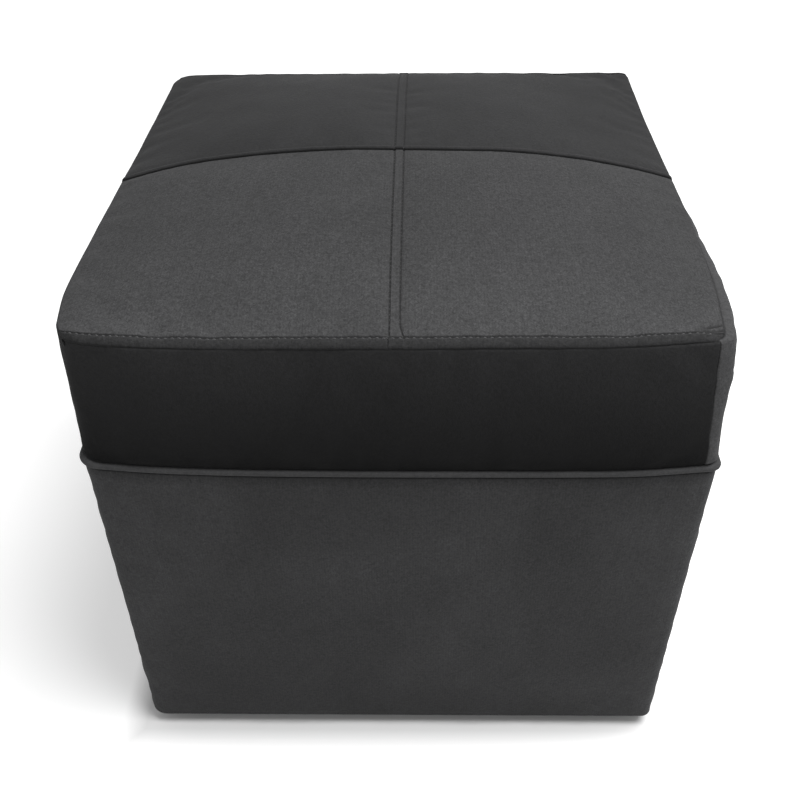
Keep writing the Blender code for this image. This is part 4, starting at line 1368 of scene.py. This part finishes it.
def make_flat_linings():
    z0, z1 = low("lid_lining", "z"), high("lid_lining", "z")
    half = high("lid_lining", "x")
    lid = flat_sheet("lid_underside_lining", half, z0 - 0.0004, z1 - 0.0002, "lid", "lid_lining", hinge_boxes())
    hinge_x = [((a[0] + b[0]) / 2, b[0] - a[0]) for a, b in hinge_boxes()]

    def at_hinge(x, y):
        return y > 0.15 and any(abs(x - middle) < width / 2 + 0.006 for middle, width in hinge_x)

    ring_of_staples(half - 0.0055, z0 - 0.0004, 0.034, "lid", "lid_lining_staples", at_hinge)
    ring_of_staples(HEM_HALF - 0.013, HEM_Z, 0.031, "lid", "hem_staples", at_hinge)
    z0, z1 = low("dust_cover", "z"), high("dust_cover", "z")
    half = high("dust_cover", "x")
    dust = flat_sheet("base_dust_cover", half, z0, z1, "box", "dust_cover")
    ring_of_staples(half - 0.0060, z0, 0.034, "box", "dust_cover_staples")


def octagon_loop(wall, rear_y):
    """Points round the storage space: the same count on each wall whatever the rear wall's place."""
    side, diagonal, rear = octagon_reach(wall, rear_y)
    cut, rear_cut = diagonal - side, diagonal - rear
    corners = [(-cut, -side), (cut, -side), (side, -cut), (side, cut)]
    corners += [(rear_cut, rear), (-rear_cut, rear), (-side, cut), (-side, -cut)]
    corners = np.array(corners)
    out = []
    for k in range(8):
        a, b = corners[k], corners[(k + 1) % 8]
        count = 10 if k % 2 else 90
        share = (np.arange(count) / count)[:, None]
        out.append(a + (b - a) * share)
    return np.concatenate(out)


def make_storage_lining():
    """A bag of lining down the walls, back under the hinge rail, and across the bottom."""
    rail = octagon_loop(LINING_ROOM, RAIL_Y)
    full = octagon_loop(LINING_ROOM, WALL_IN)
    floor_z = FLOOR_TOP + LINING_ROOM
    top = WALL_TOP - 0.0006
    step_z = RAIL_Z - 0.0015
    rows = []
    down = runs((top, top - 0.0012, 0.0004), (top - 0.0012, step_z + 0.002, 0.004), (step_z + 0.002, step_z, 0.0007))
    for z in down:
        rows.append((rail, z))
    for share in (0.15, 0.4, 0.6, 0.8, 0.93, 1.0):
        rows.append((rail + (full - rail) * share, step_z - 0.0006 * math.sin(share * math.pi / 2)))
    down = runs(
        (step_z - 0.0012, step_z - 0.006, 0.0016),
        (step_z - 0.006, floor_z + 0.006, 0.0055),
        (floor_z + 0.006, floor_z + 0.0015, 0.0015),
    )
    rows += [(full, z) for z in down]
    rows.append((full * 0.9965, floor_z + 0.0005))
    rows += [(full * share, floor_z) for share in (0.991, 0.95, 0.85, 0.7, 0.55, 0.4, 0.25, 0.1)]
    points = []
    for loop, z in rows:
        x, y = loop[:, 0], loop[:, 1]
        reach = np.maximum(np.abs(x), np.abs(y))
        wall = ramp(z, floor_z + 0.004, floor_z + 0.05) * ramp(-z, -(top - 0.004), -(top - 0.03))
        sag = 0.0010 * wall * (0.6 + ripple(x + y * 0.7, y - x * 0.7 + z * 0.5, 0.11, 91))
        sag = sag + 0.0004 * wall * ripple(x - y, z * 3, 0.05, 92)
        scale = 1 - np.maximum(sag, 0) / reach
        rise = np.zeros(len(x))
        if z <= floor_z:
            loose = 0.0011 * (0.55 + 0.45 * ripple(x, y, 0.12, 93))
            rise = loose * ramp(0.97 - reach / WALL_IN, 0, 0.2)
        points.append(np.stack([x * scale, y * scale, z + np.maximum(rise, 0)], -1))
    points = np.stack(points)
    count, columns = points.shape[:2]
    faces = grid_faces(count, columns, closed=True)
    middle = np.array([[0, 0, floor_z + 0.0004]])
    last = (count - 1) * columns
    faces += [(last + c, last + (c + 1) % columns, count * columns) for c in range(columns)]
    bag = mesh_piece("storage_bag_lining", np.concatenate([points.reshape(-1, 3), middle]), faces, LINING_BLACK)
    thicken(bag, LINING)
    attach(bag, "box")
    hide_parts("storage_lining")
    places, directions, normals = [], [], []
    z = top - 0.009
    for side, (nx, ny) in SIDES.items():
        reach = (RAIL_Y if side == "rear" else WALL_IN) - 0.0016
        for k in range(9):
            s = (k - 4) * 0.038 + rng.normal(0, 0.0015)
            x, y = (s, ny * reach) if ny else (nx * reach, s)
            along = Vector((1, 0, rng.normal(0, 0.08)) if ny else (0, 1, rng.normal(0, 0.08))).normalized()
            places.append((x - nx * 0.0002, y - ny * 0.0002, z + rng.normal(0, 0.0006)))
            directions.append(along)
            normals.append((-nx, -ny, 0))
    staple_row(places, directions, normals, "box", "storage_staples")


# Padding inside


def make_stuffing():
    """The lid's foam block and wadding, and the thin pads behind the cover."""
    share = np.linspace(-1, 1, 57)
    v, u = np.meshgrid(share, share, indexing="ij")

    def crowned(inset, base_z=None):
        x, y = plan(u, v, SEAM_HALF - inset - 0.0005, FLAT_BOW, STUFFING_RADIUS)
        z = SEAM_Z - inset + seat_rise(u, v) - 0.0015
        if base_z is not None:
            z = np.full_like(z, base_z)
        return np.stack([x, y, z], -1)

    edge = np.maximum(np.abs(u), np.abs(v))
    top = crowned(0.0056)
    top[..., 2] -= 0.004 * ramp(edge, 0.93, 1.0) - 0.0004 * ripple(u * 0.2, v * 0.2, 0.08, 95)
    foam = closed_shell("lid_foam_block", top, crowned(0.0056, BOARD_TOP + 0.0004), FOAM, steps=18)
    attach(foam, "lid")
    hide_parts("lid_foam")
    outer, inner = crowned(0.0022), crowned(0.0046)
    outer[..., 2] -= 0.003 * ramp(edge, 0.95, 1.0)
    inner[..., 2] -= 0.003 * ramp(edge, 0.95, 1.0)
    outer[..., 2] += 0.0003 * ripple(u * 0.2, v * 0.2, 0.03, 96)
    skirt_z = np.linspace(0, 1, 26)[1:] * (BOARD_TOP - 0.008 - (SEAM_Z - 0.006))
    s = share[:-1]
    ring_u = np.concatenate([s, np.ones(56), -s, -np.ones(56)])
    ring_v = np.concatenate([-np.ones(56), s, np.ones(56), -s])
    walls = []
    for inset in (0.0027, 0.0048):
        x, y = plan(ring_u, ring_v, SEAM_HALF - inset, FLAT_BOW, STUFFING_RADIUS)
        heights = SEAM_Z - 0.0062 + np.concatenate([[0], skirt_z])
        walls.append(np.stack([np.stack([x, y, np.full(len(ring_u), z)], -1) for z in heights])[:, ::-1])
    skirt = closed_shell("lid_wadding_skirt", *walls, WADDING, steps=2, closed=True)
    sheet = closed_shell("lid_wadding_sheet", outer, inner, WADDING, steps=2)
    for piece in (skirt, sheet):
        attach(piece, "lid")
    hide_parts("lid_wadding")
    for side, (nx, ny) in SIDES.items():
        s = np.linspace(-0.965, 0.965, 61)
        z = np.linspace(COVER_Z + 0.003, COVER_TOP - 0.001, 41)
        pu, pv = side_shares(side, s)
        sn, tn = np.abs(s)[None, :] / 0.965, np.abs(np.linspace(-1, 1, 41))[:, None]
        round_off = 0.0028 * (ramp(sn, 0.96, 1.0) + ramp(tn, 0.94, 1.0))
        lumps = 0.0003 * ripple(s[None, :] * 0.2, z[:, None], 0.04, 97)
        outside = base_wall(pu[None, :], pv[None, :], z[:, None], -0.0019 - round_off + lumps)
        wall = WALL_OUT + 0.0004
        inside = outside.copy()
        inside[..., 0 if nx else 1] = (nx or ny) * wall
        outward = outside if side in ("front", "right") else outside[:, ::-1]
        inward = inside if side in ("front", "right") else inside[:, ::-1]
        pad = closed_shell("side_pad_" + side, outward, inward, FOAM, steps=4)
        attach(pad, "box")
        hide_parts("padding_" + side)


# Glides, screws and metalwork


def turned(name, profile, place, material, body, steps=48, upside_down=False, cross=0.0):
    """A closed profile of (radius, height) points turned round Z; cross cuts a recess of that width in its top."""
    bm = bmesh.new()
    rings = []
    for radius, height in profile:
        if radius < 1e-6:
            rings.append([bm.verts.new((0, 0, height))])
        else:
            turns = np.arange(steps) * 2 * math.pi / steps
            rings.append([bm.verts.new((radius * math.cos(a), radius * math.sin(a), height)) for a in turns])
    pairs = list(zip(rings, rings[1:]))
    if len(rings[0]) > 1:
        pairs.append((rings[-1], rings[0]))
    for a, b in pairs:
        for k in range(steps):
            corners = [a[k % len(a)], b[k % len(b)], b[(k + 1) % len(b)], a[(k + 1) % len(a)]]
            unique = list(dict.fromkeys(corners))
            if len(unique) > 2:
                bm.faces.new(unique)
    bmesh.ops.recalc_face_normals(bm, faces=bm.faces[:])
    mesh = bpy.data.meshes.new(name)
    bm.to_mesh(mesh)
    bm.free()
    mesh.polygons.foreach_set("use_smooth", [True] * len(mesh.polygons))
    mesh.materials.append(material)
    obj = bpy.data.objects.new(name, mesh)
    bpy.context.scene.collection.objects.link(obj)
    if cross:
        top = profile[0][1]
        bottom, above = top - cross * 0.3, top + cross
        sizes_xy = ((cross / 2, cross / 9), (cross / 9, cross / 2))
        notch(obj, [((-x, -y, bottom), (x, y, above)) for x, y in sizes_xy])
    obj.data.set_sharp_from_angle(angle=math.radians(35))
    turn = Matrix.Rotation(math.pi, 4, "X") if upside_down else Matrix.Identity(4)
    obj.data.transform(Matrix.Translation(place) @ turn)
    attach(obj, body)
    return obj


def screw_profile(head_radius, head, shank_radius, shank):
    """A domed pan head on a threaded shank with a gimlet point, head up."""
    profile = [(0, head)]
    for angle in np.radians(np.linspace(20, 90, 7)):
        profile.append((head_radius * math.sin(angle), head * (0.25 + 0.75 * math.cos(angle))))
    profile += [(head_radius, 0), (shank_radius * 0.78, 0)]
    pitch = shank_radius * 0.7
    z = -pitch
    while z > -shank + 2.2 * shank_radius:
        profile += [(shank_radius * 0.72, z + pitch * 0.3), (shank_radius, z), (shank_radius * 0.72, z - pitch * 0.3)]
        z -= pitch
    profile += [(shank_radius * 0.7, -shank + 1.8 * shank_radius), (0, -shank)]
    return profile


def make_screws():
    for name in sorted(frame["nodes"]):
        if "screw" not in name:
            continue
        lo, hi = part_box(name)
        body = frame["nodes"][name].parent.name.split(":")[1]
        middle = (lo + hi) / 2
        radius = (hi.x - lo.x) / 2
        foot = name.startswith("foot")
        upside_down = foot or name.startswith("lid")
        head = 0.0030 if foot else 0.0013
        shank_radius = 0.0020 if foot else 0.00175
        seat = lo.z + head if upside_down else hi.z - head
        profile = screw_profile(radius, head, shank_radius, hi.z - lo.z - head)
        place = (middle.x, middle.y, seat)
        made = turned(name + "_crosshead", profile, place, ZINC, body, 32, upside_down, cross=radius * 1.05)
        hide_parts(name)


def make_glides():
    for corner in CORNERS:
        name = "foot_" + corner
        lo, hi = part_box(name)
        radius, height = (hi.x - lo.x) / 2, hi.z
        recess, hole = 0.0052, 0.0024
        profile = [(hole, height), (radius * 0.86, height)]
        profile += [(radius * 0.93, height - 0.0004), (radius * 0.95, height - 0.0012)]
        profile += [(radius * 0.955, height - 0.0030), (radius * 0.985, height - 0.0036)]
        profile += [(radius, height - 0.0044), (radius, 0.0028)]
        for angle in np.radians(np.linspace(15, 90, 6)):
            profile.append((radius - 0.0024 + 0.0024 * math.cos(angle), 0.0024 - 0.0024 * math.sin(angle)))
        profile += [(recess + 0.0016, 0), (recess + 0.0004, 0.0004), (recess, 0.0012)]
        profile += [(recess, 0.0050), (hole, 0.0050)]
        place = ((lo.x + hi.x) / 2, (lo.y + hi.y) / 2, 0)
        made = turned(name + "_glide", profile, place, GLIDE, "box", 64)
        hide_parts(name)


def dress_cad_nodes():
    """Better materials for the boards and hinges, and slightly rounded edges for the hinges, whose shapes stay."""
    for name, obj in frame["nodes"].items():
        if name.endswith("_panel") or name.startswith("corner_post") or name in ("hinge_rail", "lid_board"):
            obj.data.materials.clear()
            obj.data.materials.append(CHIPBOARD)
        if name.startswith(("hinge_leaf", "hinge_pin")):
            obj.data.materials.clear()
            obj.data.materials.append(ZINC)
            edge = obj.modifiers.new("Edge", "BEVEL")
            edge.width = 0.00012
            edge.segments = 2
            edge.limit_method = "ANGLE"
            edge.angle_limit = math.radians(50)


# Camera, floor and light


def make_camera():
    pitch, yaw, roll = CAMERA_PITCH, CAMERA_YAW, CAMERA_ROLL
    ahead = Vector((math.sin(yaw) * math.cos(pitch), math.cos(yaw) * math.cos(pitch), -math.sin(pitch)))
    right = Vector((math.cos(yaw), -math.sin(yaw), 0))
    up = right.cross(ahead)
    right, up = right * math.cos(roll) + up * math.sin(roll), up * math.cos(roll) - right * math.sin(roll)
    turn = Matrix((right, up, -ahead)).transposed()
    data = bpy.data.cameras.new("camera")
    data.lens, data.sensor_width = CAMERA_LENS, CAMERA_SENSOR
    data.clip_start, data.clip_end = 0.05, 60
    camera = bpy.data.objects.new("camera", data)
    camera.matrix_world = Matrix.Translation(CAMERA_PLACE) @ turn.to_4x4()
    bpy.context.scene.collection.objects.link(camera)
    bpy.context.scene.camera = camera


def seen_directly(tree):
    """1 for rays from the camera, and for those that glossy and clear surfaces send on."""
    path = node(tree, "LightPath")
    total = combine(tree, "MAXIMUM", path.outputs["Is Camera Ray"], path.outputs["Is Glossy Ray"])
    return combine(tree, "MAXIMUM", total, path.outputs["Is Transmission Ray"])


def make_studio():
    material, tree, shader = graph("studio_floor")
    shader.inputs["Base Color"].default_value = (FLOOR_COLOUR,) * 3 + (1,)
    shader.inputs["Roughness"].default_value = 0.9
    shader.inputs["Specular IOR Level"].default_value = 0.0
    shader.inputs["Emission Color"].default_value = (1, 1, 1, 1)
    place = node(tree, "SeparateXYZ", {0: where(tree)}).outputs
    across, along = (node(tree, "Math", {0: place[axis]}, operation="ABSOLUTE").outputs[0] for axis in "XY")
    outside = combine(tree, "SUBTRACT", combine(tree, "MAXIMUM", across, along), RIM_HALF)
    # The glow fades to none right round the object, which paints a contact shadow
    near = spread(tree, outside, 0.0, FLOOR_LIFT, 0.002, 0.024)
    far = spread(tree, outside, 0.0, 1.0 - FLOOR_LIFT, 0.9, 2.4)
    lift = combine(tree, "MULTIPLY", seen_directly(tree), combine(tree, "ADD", near, far))
    tree.links.new(lift, shader.inputs["Emission Strength"])
    rings = [(r * math.cos(a), r * math.sin(a), 0) for r in (1.0, 4.0, 14.0) for a in np.arange(48) * math.pi / 24]
    faces = grid_faces(3, 48, closed=True, flip=True) + [tuple(range(48))]
    floor = mesh_piece("floor", rings, faces, material)
    world = bpy.data.worlds.new("studio")
    bpy.context.scene.world = world
    world.use_nodes = True
    tree = world.node_tree
    background = tree.nodes["Background"]
    background.inputs["Color"].default_value = (1, 1, 1, 1)
    seen = seen_directly(tree)
    strength = node(tree, "MapRange", {"Value": seen, "To Min": WORLD_LIGHT, "To Max": 1.0}).outputs["Result"]
    tree.links.new(strength, background.inputs["Strength"])
    light = bpy.data.lights.new("key", "AREA")
    light.shape, light.size, light.energy = "DISK", KEY_SIZE, KEY_POWER
    key = bpy.data.objects.new("key", light)
    key.location = KEY_PLACE
    key.rotation_euler = (Vector((0, 0, 0.3)) - KEY_PLACE).to_track_quat("-Z", "Y").to_euler()
    bpy.context.scene.collection.objects.link(key)
    bpy.context.scene.view_settings.view_transform = "Standard"


make_camera()
make_studio()
seat_swell, band_swells = simulate_lid()
seat_swell = scaled(seat_swell, SEAT_SWELL)
body_swells = simulate_body()
make_seat(seat_swell)
make_seat_stitches(seat_swell)
make_bands(band_swells)
make_cover(body_swells)
make_rim()
make_flat_linings()
make_storage_lining()
make_stuffing()
make_screws()
make_glides()
dress_cad_nodes()
